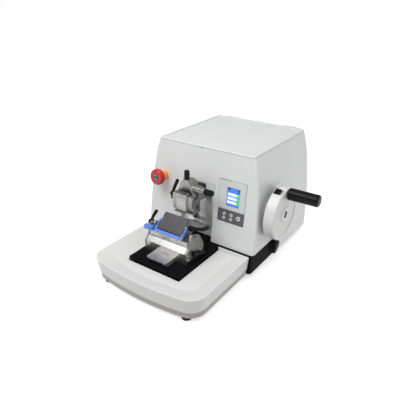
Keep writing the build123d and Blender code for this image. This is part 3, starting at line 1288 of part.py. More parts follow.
def make_angle_lever():
    y, z = angle_bolt()
    lever = hub_with_shaft(6.0, HOLDER_LEFT - 10, HOLDER_LEFT - GAP, HOLDER_LEFT + CHEEK + 5, y, z)
    return lever + swung_arm(33.0, 6.5, 8.0, 5.5, 3.0, -1, degrees(atan2(17, 24)), (HOLDER_LEFT - 6, y, z))


def make_blade_lever():
    y, z = ECCENTRIC
    right = CARRIER_X + CARRIER_HALF + GAP + GUARD_THICK + GAP
    lever = hub_with_shaft(6.5, right + 0.4, right + 11, CARRIER_X - CARRIER_HALF + 10, y, z)
    return lever + swung_arm(41.0, 8.0, 9.0, 7.0, 17.0, 1, -13.0, (right + 6.0, y, z))


def make_holder_lock_lever():
    y, z = LOCK_SHAFT_Y, LOCK_SHAFT_Z
    lever = hub_with_shaft(6.5, HOLDER_RIGHT + GAP, HOLDER_RIGHT + 8, ARM_X + RAIL_HALF + 8, y, z)
    return lever + swung_arm(40.0, 7.0, 8.0, 5.0, 2.0, 1, -18.0, (HOLDER_RIGHT + 4.0, y, z))


# Display, keys and stop button

def display_middle():
    return ((DISPLAY_X[0] + DISPLAY_X[1]) / 2, (DISPLAY_Z[0] + DISPLAY_Z[1]) / 2)


def keypad_middle():
    return ((KEYPAD_X[0] + KEYPAD_X[1]) / 2, (KEYPAD_Z[0] + KEYPAD_Z[1]) / 2)


def screen_middle():
    return ((SCREEN_X[0] + SCREEN_X[1]) / 2, (SCREEN_Z[0] + SCREEN_Z[1]) / 2)


def panel_size(xs, zs):
    return (xs[1] - xs[0], slope_height(zs[0], zs[1]))


def display_rebate():
    width, height = panel_size(DISPLAY_X, DISPLAY_Z)
    depth = PANEL_THICK - PANEL_PROUD
    cut = on_front(*display_middle()) * slab(width + SEAM, height + SEAM, -depth, 5)
    screen_w, screen_h = panel_size(SCREEN_X, SCREEN_Z)
    return cut + on_front(*screen_middle()) * slab(screen_w + 8, screen_h + 8, -12, 5)


def make_display_bezel():
    width, height = panel_size(DISPLAY_X, DISPLAY_Z)
    depth = PANEL_THICK - PANEL_PROUD
    bezel = slab(width, height, -depth, PANEL_PROUD)
    bezel = fillet(bezel.edges().filter_by(Axis.Z), 1.5)
    bezel = on_front(*display_middle()) * bezel
    screen_w, screen_h = panel_size(SCREEN_X, SCREEN_Z)
    return bezel - on_front(*screen_middle()) * slab(screen_w, screen_h, -5, 5)


def make_display_screen():
    width, height = panel_size(SCREEN_X, SCREEN_Z)
    depth = PANEL_THICK - PANEL_PROUD
    module = slab(width + 7, height + 7, -9, -depth) + slab(width - 0.2, height - 0.2, -depth - 1, PANEL_PROUD - 0.4)
    return on_front(*screen_middle()) * module


def keypad_rebate():
    width, height = panel_size(KEYPAD_X, KEYPAD_Z)
    depth = PANEL_THICK - PANEL_PROUD
    plane = on_front(*keypad_middle())
    return plane * (slab(width + SEAM, height + SEAM, -depth, 5) + slab(width - 6, height - 6, -12, 5))


def make_keypad_plate():
    width, height = panel_size(KEYPAD_X, KEYPAD_Z)
    depth = PANEL_THICK - PANEL_PROUD
    plate = slab(width, height, -depth, PANEL_PROUD)
    plate = fillet(plate.edges().filter_by(Axis.Z), 1.5)
    plate = on_front(*keypad_middle()) * plate
    for x, z, radius in KEYS.values():
        plate -= on_front(x, z) * disc(radius + 0.15, -6, 6)
    return plate


def make_key(x, z, radius):
    """Push key with a domed cap and a flange behind the keypad plate."""
    depth = PANEL_THICK - PANEL_PROUD
    cap = disc(radius, -depth - 1, PANEL_PROUD + 1.6)
    cap = fillet(cap.edges().group_by(Axis.Z)[-1], 0.7)
    return on_front(x, z) * (cap + disc(radius + 0.9, -depth - 1.3, -depth - 0.2))


def make_stop_collar():
    """Yellow ring of the stop button, with the nut behind the wall."""
    ring = Pos(0, 0, STOP_COLLAR / 2) * Cone(STOP_STEM + 4.0, STOP_STEM + 5.5, STOP_COLLAR)
    ring += disc(STOP_STEM + 1.7, -WALL - 4, 0.5)
    ring += disc(STOP_STEM + 5.0, -WALL - 5, -WALL - 0.1)
    ring -= disc(STOP_STEM + RUN, -WALL - 6, STOP_COLLAR + 1)
    return on_front(STOP_X, STOP_Z) * ring


def make_stop_stem():
    stem = disc(STOP_STEM, -24, 25)
    return on_front(STOP_X, STOP_Z) * (stem - disc(STOP_STEM - 2, 18, 26))


def make_stop_button():
    """Mushroom head, hollow underneath, on the stem."""
    low = STOP_COLLAR + STOP_TRAVEL + 0.8
    high = low + 12.0
    cap = disc(STOP_RADIUS, low, high)
    cap = fillet(cap.edges().group_by(Axis.Z)[-1], 5.0)
    cap = fillet(cap.edges().group_by(Axis.Z)[0], 1.5)
    cap -= disc(STOP_STEM + RUN, low - 1, 25 + RUN)
    cap += disc(STOP_STEM - 2 - RUN, low + 1, 26)
    return on_front(STOP_X, STOP_Z) * cap


def build_pieces():
    outer = housing_body(0)
    pieces = {
        "base_pan": make_base_pan(),
        "base_casting": make_base_casting(),
        "rubber_feet": make_rubber_feet(),
        "base_plate": make_base_plate(),
        "t_rail": make_t_rail(),
        "housing_shell": make_housing_shell(outer),
        "rear_panel": make_rear_panel(),
        "power_inlet": make_power_inlet(),
        "power_switch": make_power_switch(),
        "slide_face_plate": make_slide_face_plate(),
        "main_frame": make_main_frame(),
        "guide_rods": make_guide_rods(),
        "bearing_block": make_bearing_block(),
        "shaft_bearings": make_shaft_bearings(),
        "drive_motor": make_drive_motor(),
        "drive_belt": make_drive_belt(),
        "display_bezel": make_display_bezel(),
        "display_screen": make_display_screen(),
        "keypad_plate": make_keypad_plate(),
        "stop_collar": make_stop_collar(),
        "stop_stem": make_stop_stem(),
        "stop_button": make_stop_button(),
        "lid": make_lid(outer),
        "waste_tray": make_waste_tray(),
        "handwheel": make_handwheel(),
        "drive_shaft": make_drive_shaft(),
        "crank_disc": make_crank_disc(),
        "wheel_grip": make_wheel_grip(),
        "wheel_catch": make_wheel_catch(),
        "motor_pulley": make_motor_pulley(),
        "base_lock_lever": make_base_lock_lever(),
        "carriage_block": make_carriage_block(),
        "dust_shutter": make_dust_shutter(),
        "feed_motor": make_feed_motor(),
        "feed_screw": make_feed_screw(),
        "feed_piston": make_feed_piston(),
        "head_mount": make_head_mount(),
        "swivel_ring": make_swivel_ring(),
        "specimen_clamp": make_specimen_clamp(),
        "clamp_face": make_clamp_face(),
        "clamp_jaw": make_clamp_jaw(),
        "clamp_lever": make_clamp_lever(),
        "orient_knob_top": make_orient_knob_top(),
        "orient_knob_side": make_orient_knob_side(),
        "holder_base": make_holder_base(),
        "holder_cheeks": make_holder_cheeks(),
        "holder_lock_lever": make_holder_lock_lever(),
        "segment": make_segment(),
        "angle_lever": make_angle_lever(),
        "blade_carriage": make_blade_carriage(),
        "blade": make_blade(),
        "pressure_plate": make_pressure_plate(),
        "blade_lever": make_blade_lever(),
        "knife_guard": make_knife_guard(),
        "shift_grip": make_shift_grip(),
    }
    for name, (x, z, radius) in KEYS.items():
        pieces[name] = make_key(x, z, radius)
    return pieces


def machine_middle():
    """Middle of the machine's footprint, from its outermost pieces."""
    right = WHEEL_FACE + GRIP_LENGTH
    rear = hinge_axis()[0] + KNUCKLE_RADIUS
    return ((right - LOW_HALF) / 2, (max(rear, rear_y(SKIRT_LOW)) + TRAY_NOSE) / 2)


def main():
    os.makedirs("parts", exist_ok=True)
    middle_x, middle_y = machine_middle()
    for name, piece in build_pieces().items():
        export_step(Pos(-middle_x, -middle_y, 0) * piece, f"parts/{name}.step")


if __name__ == "__main__":
    main()
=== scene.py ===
"""Rotary microtome: materials, signs, small fasteners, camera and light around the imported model."""
import json
from math import atan2, cos, pi, radians, sin, tan

import bmesh
import bpy
from mathutils import Euler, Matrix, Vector


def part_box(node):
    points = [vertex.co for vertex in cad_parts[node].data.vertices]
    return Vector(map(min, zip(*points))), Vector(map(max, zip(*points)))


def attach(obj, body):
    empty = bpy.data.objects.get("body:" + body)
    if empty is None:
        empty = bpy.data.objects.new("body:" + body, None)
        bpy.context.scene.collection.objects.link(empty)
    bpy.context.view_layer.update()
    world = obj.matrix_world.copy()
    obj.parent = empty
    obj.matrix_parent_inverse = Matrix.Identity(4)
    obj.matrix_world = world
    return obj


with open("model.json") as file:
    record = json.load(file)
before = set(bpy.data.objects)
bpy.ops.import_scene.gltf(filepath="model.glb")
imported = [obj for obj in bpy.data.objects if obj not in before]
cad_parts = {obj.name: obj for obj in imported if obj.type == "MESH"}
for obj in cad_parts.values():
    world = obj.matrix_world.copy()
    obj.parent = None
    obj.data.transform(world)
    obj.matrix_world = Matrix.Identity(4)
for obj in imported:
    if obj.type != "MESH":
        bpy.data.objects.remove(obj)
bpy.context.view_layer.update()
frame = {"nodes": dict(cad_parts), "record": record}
nodes = frame["nodes"]

# Camera at the photograph's viewing angle
CAMERA_PLACE = (0.47196, -0.751945, 0.58615)
CAMERA_DROP = 26.69
CAMERA_TURN = 34.88
LENS = 35.54
SENSOR_WIDTH = 36.0

camera = bpy.data.objects.new("camera", bpy.data.cameras.new("camera"))
bpy.context.scene.collection.objects.link(camera)
camera.data.lens = LENS
camera.data.sensor_width = SENSOR_WIDTH
camera.data.clip_start = 0.01
camera.location = CAMERA_PLACE
camera.rotation_euler = Euler((radians(90 - CAMERA_DROP), 0, radians(CAMERA_TURN)))
bpy.context.scene.camera = camera
bpy.context.scene.view_settings.view_transform = "Standard"

# Materials, with lengths in metres
EDGE_RADIUS = 0.0007
GRAIN_DEPTH = 0.0002
EDGE_SPOT_SCALE = 260.0
COAT_ROUGHNESS = 0.08
RIB_PITCH = 0.00316
RIB_DEPTH = 0.0002
DISPLAY_GLOW = 0.35
DISPLAY_DARK_GLOW = 0.2
WHITE = (1, 1, 1, 1)
# The wave texture's own factor: at scale 1 its bands repeat every 2 pi / 20
WAVE_FACTOR = 20.0


def put(node, values):
    """Sets a node's inputs by name."""
    for name, value in values.items():
        node.inputs[name].default_value = value


class Nodes:
    """Small helper that adds shader nodes to a tree and links them."""

    def __init__(self, tree):
        self.tree = tree
        self.place = self.add("ShaderNodeTexCoord")

    def add(self, kind, inputs=None, **settings):
        node = self.tree.nodes.new(kind)
        for key, value in settings.items():
            setattr(node, key, value)
        put(node, inputs or {})
        return node

    def link(self, source, out, target, into):
        self.tree.links.new(source.outputs[out], target.inputs[into])

    def noise(self, scale, detail, rough=0.5, stretch=None):
        """Noise over the object's own space, drawn out along an axis where stretch is given."""
        texture = self.add("ShaderNodeTexNoise", {"Scale": scale, "Detail": detail, "Roughness": rough})
        source, out = self.place, "Object"
        if stretch:
            source, out = self.add("ShaderNodeMapping", {"Scale": stretch}), "Vector"
            self.link(self.place, "Object", source, "Vector")
        self.link(source, out, texture, "Vector")
        return texture

    def spread(self, source, out, low, high, start=0.3, end=0.7):
        """Maps a value between start and end onto low..high."""
        node = self.add("ShaderNodeMapRange",
                        {"From Min": start, "From Max": end, "To Min": low, "To Max": high})
        self.link(source, out, node, "Value")
        return node

    def edges(self):
        """Bevel that rounds the edges, and a value that is 1 on them and 0 on flat faces."""
        bevel = self.add("ShaderNodeBevel", {"Radius": EDGE_RADIUS}, samples=4)
        geometry = self.add("ShaderNodeNewGeometry")
        dot = self.add("ShaderNodeVectorMath", operation="DOT_PRODUCT")
        self.link(bevel, "Normal", dot, 0)
        self.link(geometry, "Normal", dot, 1)
        return bevel, self.spread(dot, "Value", low=1.0, high=0.0, start=0.90, end=0.995)


def shade(colour, factor):
    """A colour made darker or lighter, with full opacity."""
    return tuple(min(1.0, c * factor) for c in colour) + (1.0,)


def make_material(name, colour, rough, metal=0.0, mottle=0.03, mottle_scale=25.0, grain=0.05,
                  grain_scale=1800.0, brushed=None, coat=0.0, edge_wear_and_highlight=None, rough_range=0.05, specular=0.5):
    """Procedural finish: broad colour change, fine grain, rounded edges and a lighter colour in spots along
    them, which is wear and, on the black casting, partly painted highlight.
    """
    material = bpy.data.materials.new(name)
    material.use_nodes = True
    material.node_tree.nodes.clear()
    n = Nodes(material.node_tree)
    shader = n.add("ShaderNodeBsdfPrincipled", {"Metallic": metal, "Specular IOR Level": specular})
    n.link(shader, "BSDF", n.add("ShaderNodeOutputMaterial"), "Surface")

    broad = n.noise(mottle_scale, detail=4.0)
    tone = n.add("ShaderNodeMix", {"A": shade(colour, 1 - mottle), "B": shade(colour, 1 + mottle)},
                 data_type="RGBA")
    n.link(n.spread(broad, "Fac", 0.0, 1.0), "Result", tone, "Factor")
    fine = n.noise(grain_scale, detail=2.0, rough=0.6, stretch=brushed)
    n.link(n.spread(fine, "Fac", rough - rough_range, rough + rough_range), "Result", shader, "Roughness")

    bevel, edge = n.edges()
    # Lighter colour in spots along the edges: wear, and on the black casting also painted highlight
    if edge_wear_and_highlight:
        edge_spots = n.noise(EDGE_SPOT_SCALE, detail=4.0, rough=0.7)
        amount = n.add("ShaderNodeMath", operation="MULTIPLY")
        n.link(edge, "Result", amount, 0)
        n.link(n.spread(edge_spots, "Fac", low=0.15, high=0.9, start=0.4, end=0.62), "Result", amount, 1)
        edge_tinted = n.add("ShaderNodeMix", {"B": shade(edge_wear_and_highlight, 1.0)}, data_type="RGBA")
        n.link(amount, "Value", edge_tinted, "Factor")
        n.link(tone, "Result", edge_tinted, "A")
        tone = edge_tinted
    n.link(tone, "Result", shader, "Base Color")

    bump = n.add("ShaderNodeBump", {"Strength": grain, "Distance": GRAIN_DEPTH})
    n.link(fine, "Fac", bump, "Height")
    n.link(bevel, "Normal", bump, "Normal")
    n.link(bump, "Normal", shader, "Normal")
    if coat:
        put(shader, {"Coat Weight": coat, "Coat Roughness": COAT_ROUGHNESS})
    return material


def find_node(material, kind):
    """A material's first node of a kind."""
    return next(node for node in material.node_tree.nodes if node.type == kind)


def glow(material, strength):
    """Lights a display colour from within."""
    colour = find_node(material, "MIX").inputs["B"].default_value
    put(find_node(material, "BSDF_PRINCIPLED"), {"Emission Color": colour, "Emission Strength": strength})
    return material


def ribbed(material, pitch, depth):
    """Adds fine ribs, one after another along the object's Y, to a finished material."""
    tree = material.node_tree
    bump = find_node(material, "BUMP")
    wave = tree.nodes.new("ShaderNodeTexWave")
    wave.bands_direction = "Y"
    put(wave, {"Scale": 2 * pi / (WAVE_FACTOR * pitch), "Distortion": 0.4})
    tree.links.new(find_node(material, "TEX_COORD").outputs["Object"], wave.inputs["Vector"])
    ribs = tree.nodes.new("ShaderNodeBump")
    put(ribs, {"Strength": 0.35, "Distance": depth})
    tree.links.new(wave.outputs["Fac"], ribs.inputs["Height"])
    tree.links.new(bump.inputs["Normal"].links[0].from_socket, ribs.inputs["Normal"])
    tree.links.new(ribs.outputs["Normal"], bump.inputs["Normal"])
    return material


# One material for each slot of the record, and cover_steel beside them
MATERIALS = {
    "housing_white": make_material("housing_white", (0.74, 0.75, 0.745), 0.36, mottle=0.008,
                                   grain_scale=1400.0, coat=0.12, edge_wear_and_highlight=(0.80, 0.80, 0.79)),
    "tray_white": make_material("tray_white", (0.72, 0.725, 0.715), 0.36, mottle=0.012, coat=0.1),
    # The pan is white like the tray; its colour is darkened to about half of that, as painted shade for the
    # low band under the tray's rim
    "pan_white": make_material("pan_white", (0.40, 0.383, 0.37), 0.45, mottle=0.015, grain=0.06),
    # Black casting: its lighter edge colour is partly wear and partly painted highlight along the edges
    "black_casting": make_material("black_casting", (0.004, 0.004, 0.005), 0.6, mottle=0.15, grain=0.3,
                                   grain_scale=700.0, edge_wear_and_highlight=(0.05, 0.05, 0.05), specular=0.05),
    "black_plastic": make_material("black_plastic", (0.005, 0.005, 0.006), 0.3, mottle=0.1,
                                   specular=0.15),
    "black_matte": make_material("black_matte", (0.010, 0.010, 0.011), 0.55, mottle=0.12, grain=0.2,
                                 specular=0.15),
    "rubber_black": make_material("rubber_black", (0.008, 0.008, 0.008), 0.75, mottle=0.15, grain=0.3,
                                  edge_wear_and_highlight=(0.03, 0.03, 0.03), specular=0.2),
    "belt_black": make_material("belt_black", (0.015, 0.015, 0.015), 0.65, mottle=0.1, grain=0.3),
    "steel": make_material("steel", (0.74, 0.735, 0.72), 0.28, 1.0, mottle=0.05, grain=0.08,
                           grain_scale=3000.0, brushed=(0.04, 1.0, 1.0), rough_range=0.09),
    "cover_steel": make_material("cover_steel", (0.74, 0.745, 0.75), 0.34, 1.0, mottle=0.06, grain=0.08,
                                 grain_scale=2600.0, brushed=(1.0, 1.0, 0.04), rough_range=0.08),
    "chrome_steel": make_material("chrome_steel", (0.80, 0.80, 0.81), 0.14, 1.0, mottle=0.02, grain=0.02),
    "bearing_steel": make_material("bearing_steel", (0.6, 0.6, 0.61), 0.25, 1.0),
    "nickel_warm": make_material("nickel_warm", (0.29, 0.284, 0.265), 0.38, 1.0, mottle=0.12,
                                 mottle_scale=60.0, grain=0.15, edge_wear_and_highlight=(0.80, 0.78, 0.72)),
    "pale_pad": make_material("pale_pad", (0.60, 0.575, 0.54), 0.5, 0.35, mottle=0.06, mottle_scale=90.0,
                              grain=0.25),
    "slate_metal": ribbed(make_material("slate_metal", (0.075, 0.068, 0.082), 0.45, 0.25, mottle=0.22,
                                        mottle_scale=160.0, grain=0.3, grain_scale=900.0,
                                        edge_wear_and_highlight=(0.22, 0.22, 0.24)), RIB_PITCH, RIB_DEPTH),
    "frame_grey": make_material("frame_grey", (0.22, 0.23, 0.24), 0.6, mottle=0.1, grain=0.4,
                                grain_scale=600.0, edge_wear_and_highlight=(0.4, 0.4, 0.4)),
    "guard_blue": make_material("guard_blue", (0.09, 0.24, 0.78), 0.32, mottle=0.05, grain=0.04, coat=0.2),
    "stop_red": make_material("stop_red", (0.52, 0.005, 0.008), 0.28, mottle=0.04, grain=0.04, coat=0.2),
    "stop_yellow": make_material("stop_yellow", (0.95, 0.36, 0.012), 0.36, mottle=0.04),
    "panel_grey": make_material("panel_grey", (0.68, 0.69, 0.69), 0.42, mottle=0.02, grain=0.08,
                                edge_wear_and_highlight=(0.45, 0.46, 0.48)),
    "keypad_grey": make_material("keypad_grey", (0.115, 0.11, 0.138), 0.42, mottle=0.06, grain=0.1),
    "key_white": make_material("key_white", (0.60, 0.60, 0.63), 0.35, mottle=0.02,
                               edge_wear_and_highlight=(0.75, 0.75, 0.78)),
    "screen": make_material("screen", (0.03, 0.03, 0.04), 0.12, mottle=0.02, grain=0.0),
}

# Materials of the display's lit fields and of the signs
DISPLAY_BLUE = glow(make_material("screen_blue", (0.02, 0.20, 0.80), 0.2, mottle=0.05, mottle_scale=80.0),
                    DISPLAY_GLOW)
DISPLAY_WHITE = glow(make_material("screen_white", (0.80, 0.92, 0.98), 0.2), DISPLAY_GLOW)
DISPLAY_GREEN = glow(make_material("screen_green", (0.12, 0.62, 0.13), 0.2, mottle=0.05), DISPLAY_GLOW)
DISPLAY_DARK = glow(make_material("screen_dark", (0.03, 0.03, 0.28), 0.2, mottle=0.05), DISPLAY_DARK_GLOW)
# Dark colour of the signs, scale lines and set screws, also used as painted shade in the slot's top end and
# the lid's catch hole
DARK_MARK_AND_SHADE = make_material("dark_mark_and_shade", (0.05, 0.05, 0.065), 0.5, mottle=0.05)
MARK_WHITE = make_material("mark_white", (0.75, 0.75, 0.75), 0.45)
EDGE_GREY = make_material("edge_grey", (0.22, 0.22, 0.25), 0.45, mottle=0.05)
LINE_BLUE = make_material("line_blue", (0.04, 0.045, 0.20), 0.4, mottle=0.05)

# Nodes whose look differs from the material of their slot
OWN_LOOK = {"slide_face_plate": "cover_steel", "dust_shutter": "cover_steel", "holder_cheeks": "nickel_warm"}
for part in frame["record"]["subparts"]:
    mesh = nodes[part["node"]].data
    mesh.materials.clear()
    mesh.materials.append(MATERIALS[OWN_LOOK.get(part["node"], part["material_slot"])])

# Places in millimetres from the housing's middle, its top front edge and the bench
HOUSING_TOP, HOUSING_LOW = 290.0, 63.0
FRONT_RUN, REAR_RUN = 30.9, 12.0
REAR_TOP_Y = 266.0
RAIL_FRONT, RAIL_TOP = -178.0, 72.0
ARM_X = -6.0
SHAFT_Y, SHAFT_Z = 48.0, 149.5
MARK_SUNK = 0.05
# Socket screws: the socket's radii are shares of the screw's
SCREW_SUNK, SCREW_CHAMFER = 0.5, 0.3
SOCKET_TOP, SOCKET_FOOT, SOCKET_POINT = 0.56, 0.52, 0.1
SOCKET_DEPTH, POINT_DEPTH = 0.9, 1.1
# Seams between faces that meet at more than this many degrees stay sharp on turned pieces
SHARP_ANGLE = 35

lid_low, lid_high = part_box("lid")
rail_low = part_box("t_rail")[0]
FRAME_X = -500 * (lid_low[0] + lid_high[0])
FRAME_Y = RAIL_FRONT - 1000 * rail_low[1]
FRONT_LEAN = atan2(FRONT_RUN, HOUSING_TOP - HOUSING_LOW)
REAR_LEAN = atan2(REAR_RUN, HOUSING_TOP - HOUSING_LOW)


class Face:
    """A flat face: u runs across it, v up it and n out of it, all in millimetres."""

    def __init__(self, origin, u, n):
        self.o, self.u, self.n = Vector(origin), Vector(u).normalized(), Vector(n).normalized()
        self.v = self.n.cross(self.u)

    def at(self, a, b, c=0.0):
        """The frame's point, in metres, at a across, b up and c out."""
        p = self.o + self.u * a + self.v * b + self.n * c
        return Vector(((p.x - FRAME_X) / 1000, (p.y - FRAME_Y) / 1000, p.z / 1000))


def front_face(x, z):
    """The housing's leaning front around x and z."""
    y = -(HOUSING_TOP - z) * tan(FRONT_LEAN)
    return Face((x, y, z), (1, 0, 0), (0, -cos(FRONT_LEAN), sin(FRONT_LEAN)))


def rear_face(x, z):
    """The housing's leaning rear around x and z."""
    y = REAR_TOP_Y + (HOUSING_TOP - z) * tan(REAR_LEAN)
    return Face((x, y, z), (-1, 0, 0), (0, cos(REAR_LEAN), sin(REAR_LEAN)))


def side_face(x, side):
    """An upright face that looks right for side 1 and left for side -1."""
    return Face((x, 0, 0), (0, side, 0), (side, 0, 0))


def polar(radius, turned):
    """Point at a radius and at an angle in degrees."""
    return radius * cos(radians(turned)), radius * sin(radians(turned))


def rectangle(a0, b0, a1, b1):
    return [(a0, b0), (a1, b0), (a1, b1), (a0, b1)]


def rounded(width, height, radius, steps=5, middle=(0.0, 0.0)):
    """Outline of a rounded rectangle."""
    points = []
    for cx, cy, start in ((1, 1, 0), (-1, 1, 90), (-1, -1, 180), (1, -1, 270)):
        for k in range(steps + 1):
            angle = radians(start + 90 * k / steps)
            points.append((middle[0] + cx * (width / 2 - radius) + radius * cos(angle),
                           middle[1] + cy * (height / 2 - radius) + radius * sin(angle)))
    return points


def finish_piece(name, bm, body, material, smooth=False):
    """Makes the mesh an object that rides on a body, in one material and slot."""
    bmesh.ops.recalc_face_normals(bm, faces=bm.faces)
    mesh = bpy.data.meshes.new(name)
    bm.to_mesh(mesh)
    bm.free()
    for face in mesh.polygons:
        face.use_smooth = smooth
    piece = bpy.data.objects.new(name, mesh)
    bpy.context.scene.collection.objects.link(piece)
    mesh.materials.append(material)
    if smooth:
        mesh.set_sharp_from_angle(angle=radians(SHARP_ANGLE))
    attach(piece, body)


def add_prism(bm, face, outline, low, high):
    """Flat-sided prism from an outline of (u, v) points."""
    rows = [[bm.verts.new(face.at(a, b, c)) for a, b in outline] for c in (low, high)]
    bm.faces.new(rows[0])
    bm.faces.new(list(reversed(rows[1])))
    count = len(outline)
    for k in range(count):
        bm.faces.new((rows[0][k], rows[0][(k + 1) % count], rows[1][(k + 1) % count], rows[1][k]))


def add_rings(bm, face, rings, count, middle):
    """Turned form from (radius, height, sides) rings; sides 6 gives a hexagon."""
    rows = []
    for radius, height, sides in rings:
        row = []
        for k in range(count):
            angle = 2 * pi * k / count
            reach = radius
            if sides:
                step = 2 * pi / sides
                reach = radius * cos(step / 2) / cos(angle % step - step / 2)
            row.append(bm.verts.new(face.at(middle[0] + reach * cos(angle), middle[1] + reach * sin(angle),
                                            height)))
        rows.append(row)
    for low, high in zip(rows, rows[1:]):
        for k in range(count):
            bm.faces.new((low[k], low[(k + 1) % count], high[(k + 1) % count], high[k]))
    bm.faces.new(rows[0])
    bm.faces.new(list(reversed(rows[-1])))


def flat_piece(name, body, face, outlines, low, high, material):
    """One piece of flat prisms that stand on a face from low to high."""
    bm = bmesh.new()
    for outline in outlines:
        add_prism(bm, face, outline, low, high)
    finish_piece(name, bm, body, material)


def turned_piece(name, body, face, spots, rings, material, count=32):
    """One piece of equal turned forms, one at each spot of a face."""
    bm = bmesh.new()
    for spot in spots:
        add_rings(bm, face, rings, count, spot)
    finish_piece(name, bm, body, material, smooth=True)


def screws(name, body, face, spots, radius, height=1.4):
    """Socket screws with a chamfered rim and a hexagonal recess, sunk a little into the face."""
    rings = [(radius, -SCREW_SUNK, 0), (radius, height - SCREW_CHAMFER, 0),
             (radius - SCREW_CHAMFER, height, 0), (radius * SOCKET_TOP, height, 6),
             (radius * SOCKET_FOOT, height - SOCKET_DEPTH, 6),
             (radius * SOCKET_POINT, height - POINT_DEPTH, 0)]
    turned_piece(name, body, face, spots, rings, MATERIALS["steel"])


# Display: lit ground, three rows with coloured ends, and marks in the header
SCREEN = front_face(91.6, 188.0)
SCREEN_WIDE, SCREEN_HIGH = 33.4, 43.6
GLASS, LIT, FIELDS = 0.36, 0.42, 0.47
ROWS = [9.6 - 9.4 * row for row in range(3)]
flat_piece("screen_ground", "base", SCREEN, [rounded(SCREEN_WIDE, SCREEN_HIGH, 0.8)], GLASS, LIT,
           DISPLAY_BLUE)
flat_piece("screen_rows", "base", SCREEN, [rectangle(-14.8, top - 6.6, 8.6, top) for top in ROWS],
           LIT, FIELDS, DISPLAY_WHITE)
flat_piece("screen_ends", "base", SCREEN, [rectangle(8.8, top - 7.0, 16.0, top + 0.4) for top in ROWS],
           LIT, FIELDS, DISPLAY_GREEN)
HEADER_MARKS = [rectangle(-15.6, 16.0, -8.6, 21.0), rectangle(10.6, 16.0, 16.0, 21.0),
                rectangle(9.6, 12.0, 16.2, 14.6)]
flat_piece("screen_marks", "base", SCREEN, HEADER_MARKS, LIT, FIELDS, DISPLAY_DARK)

# Blue line along the left of the panel's upper edge, and the panel's thin outline
PANEL = front_face(88.45, 191.75)
PANEL_SIDE, PANEL_END, LINE = 36.15, 34.5, 0.55
PANEL_FRONT, OUTLINE_TOP, BLUE_TOP = 0.7, 0.84, 0.86
flat_piece("panel_line", "base", PANEL, [rectangle(-35.6, 33.4, -4.0, PANEL_END)], PANEL_FRONT, BLUE_TOP,
           LINE_BLUE)
EDGES = [rectangle(-PANEL_SIDE, PANEL_END - LINE, PANEL_SIDE, PANEL_END),
         rectangle(-PANEL_SIDE, -PANEL_END, LINE - PANEL_SIDE, PANEL_END),
         rectangle(PANEL_SIDE - LINE, -PANEL_END, PANEL_SIDE, PANEL_END)]
flat_piece("panel_outline", "base", PANEL, EDGES, PANEL_FRONT, OUTLINE_TOP, EDGE_GREY)

# Signs on the keys: each key's place on the front and the sign's outlines
KEY_TOP, SIGN_TOP = 2.3, 2.46
KEY_SIGNS = {
    "key_menu": ((72.0, 145.3), [rectangle(-1.6, b - 0.3, 1.6, b + 0.3) for b in (-1.1, 0.0, 1.1)]),
    "key_up": ((91.3, 145.3), [[(-1.8, -1.0), (1.8, -1.0), (0, 1.6)]]),
    "key_back": ((72.0, 135.2), [[(-1.8, 0), (0.3, -1.6), (0.3, 1.6)], rectangle(0.3, -0.45, 1.9, 0.45)]),
    "key_down": ((91.3, 135.2), [[(0, -1.6), (1.8, 1.0), (-1.8, 1.0)]]),
    "key_run": ((110.4, 142.0), [[(-1.5, -2.3), (2.5, 0), (-1.5, 2.3)]]),
}
for key, (place, outlines) in KEY_SIGNS.items():
    flat_piece(key + "_sign", key, front_face(*place), outlines, KEY_TOP, SIGN_TOP, DARK_MARK_AND_SHADE)

# Dark disc and two turning arrows on the stop button
STOP = front_face(-112.0, 196.6)
STOP_COLLAR, STOP_TRAVEL, STOP_GAP, STOP_HEAD = 17.5, 4.0, 0.8, 12.0
STOP_TOP = STOP_COLLAR + STOP_TRAVEL + STOP_GAP + STOP_HEAD
ARROW_IN, ARROW_OUT = 4.5, 5.3
HEAD_IN, HEAD_OUT, HEAD_TIP = 3.7, 6.3, 4.9
ARROW_STEP, ARROW_STEPS, HEAD_SWEEP = 13, 8, 34


def turning_arrow(start):
    """Outlines of an arrow's arc and of its head."""
    sweep = [start + k * ARROW_STEP for k in range(ARROW_STEPS + 1)]
    arc = [polar(ARROW_OUT, a) for a in sweep] + [polar(ARROW_IN, a) for a in reversed(sweep)]
    head = [polar(HEAD_IN, sweep[-1]), polar(HEAD_OUT, sweep[-1]), polar(HEAD_TIP, sweep[-1] + HEAD_SWEEP)]
    return [arc, head]


DISC = [(8.4, STOP_TOP - 0.2, 0), (8.4, STOP_TOP + 0.1, 0), (8.1, STOP_TOP + 0.25, 0)]
turned_piece("stop_disc", "stop_head", STOP, [(0.0, 0.0)], DISC, DARK_MARK_AND_SHADE, count=40)
flat_piece("stop_arrows", "stop_head", STOP, turning_arrow(20) + turning_arrow(200),
           STOP_TOP + 0.2, STOP_TOP + 0.4, MARK_WHITE)

# White trim around the slide's steel face plate, and a dark bar of painted shade across the gap at the
# slot's top end
RECESS = Face((ARM_X, -11.0, 0), (1, 0, 0), (0, -1, 0))
TRIM_OUT, TRIM_IN, SLOT_IN = 46.4, 37.2, 20.8
TRIM_LOW, TRIM_STEP, TRIM_SLOT, TRIM_TOP = 97.0, 184.0, 201.4, 205.2
TRIM_THICK = 0.5
TRIM_HALF = [(TRIM_OUT, TRIM_LOW), (TRIM_IN, TRIM_LOW), (TRIM_IN, TRIM_STEP), (SLOT_IN, TRIM_STEP),
             (SLOT_IN, TRIM_SLOT), (0, TRIM_SLOT), (0, TRIM_TOP), (TRIM_OUT, TRIM_TOP)]
flat_piece("face_plate_trim", "base", RECESS, [[(side * a, b) for a, b in TRIM_HALF] for side in (-1, 1)],
           0.0, TRIM_THICK, MATERIALS["housing_white"])
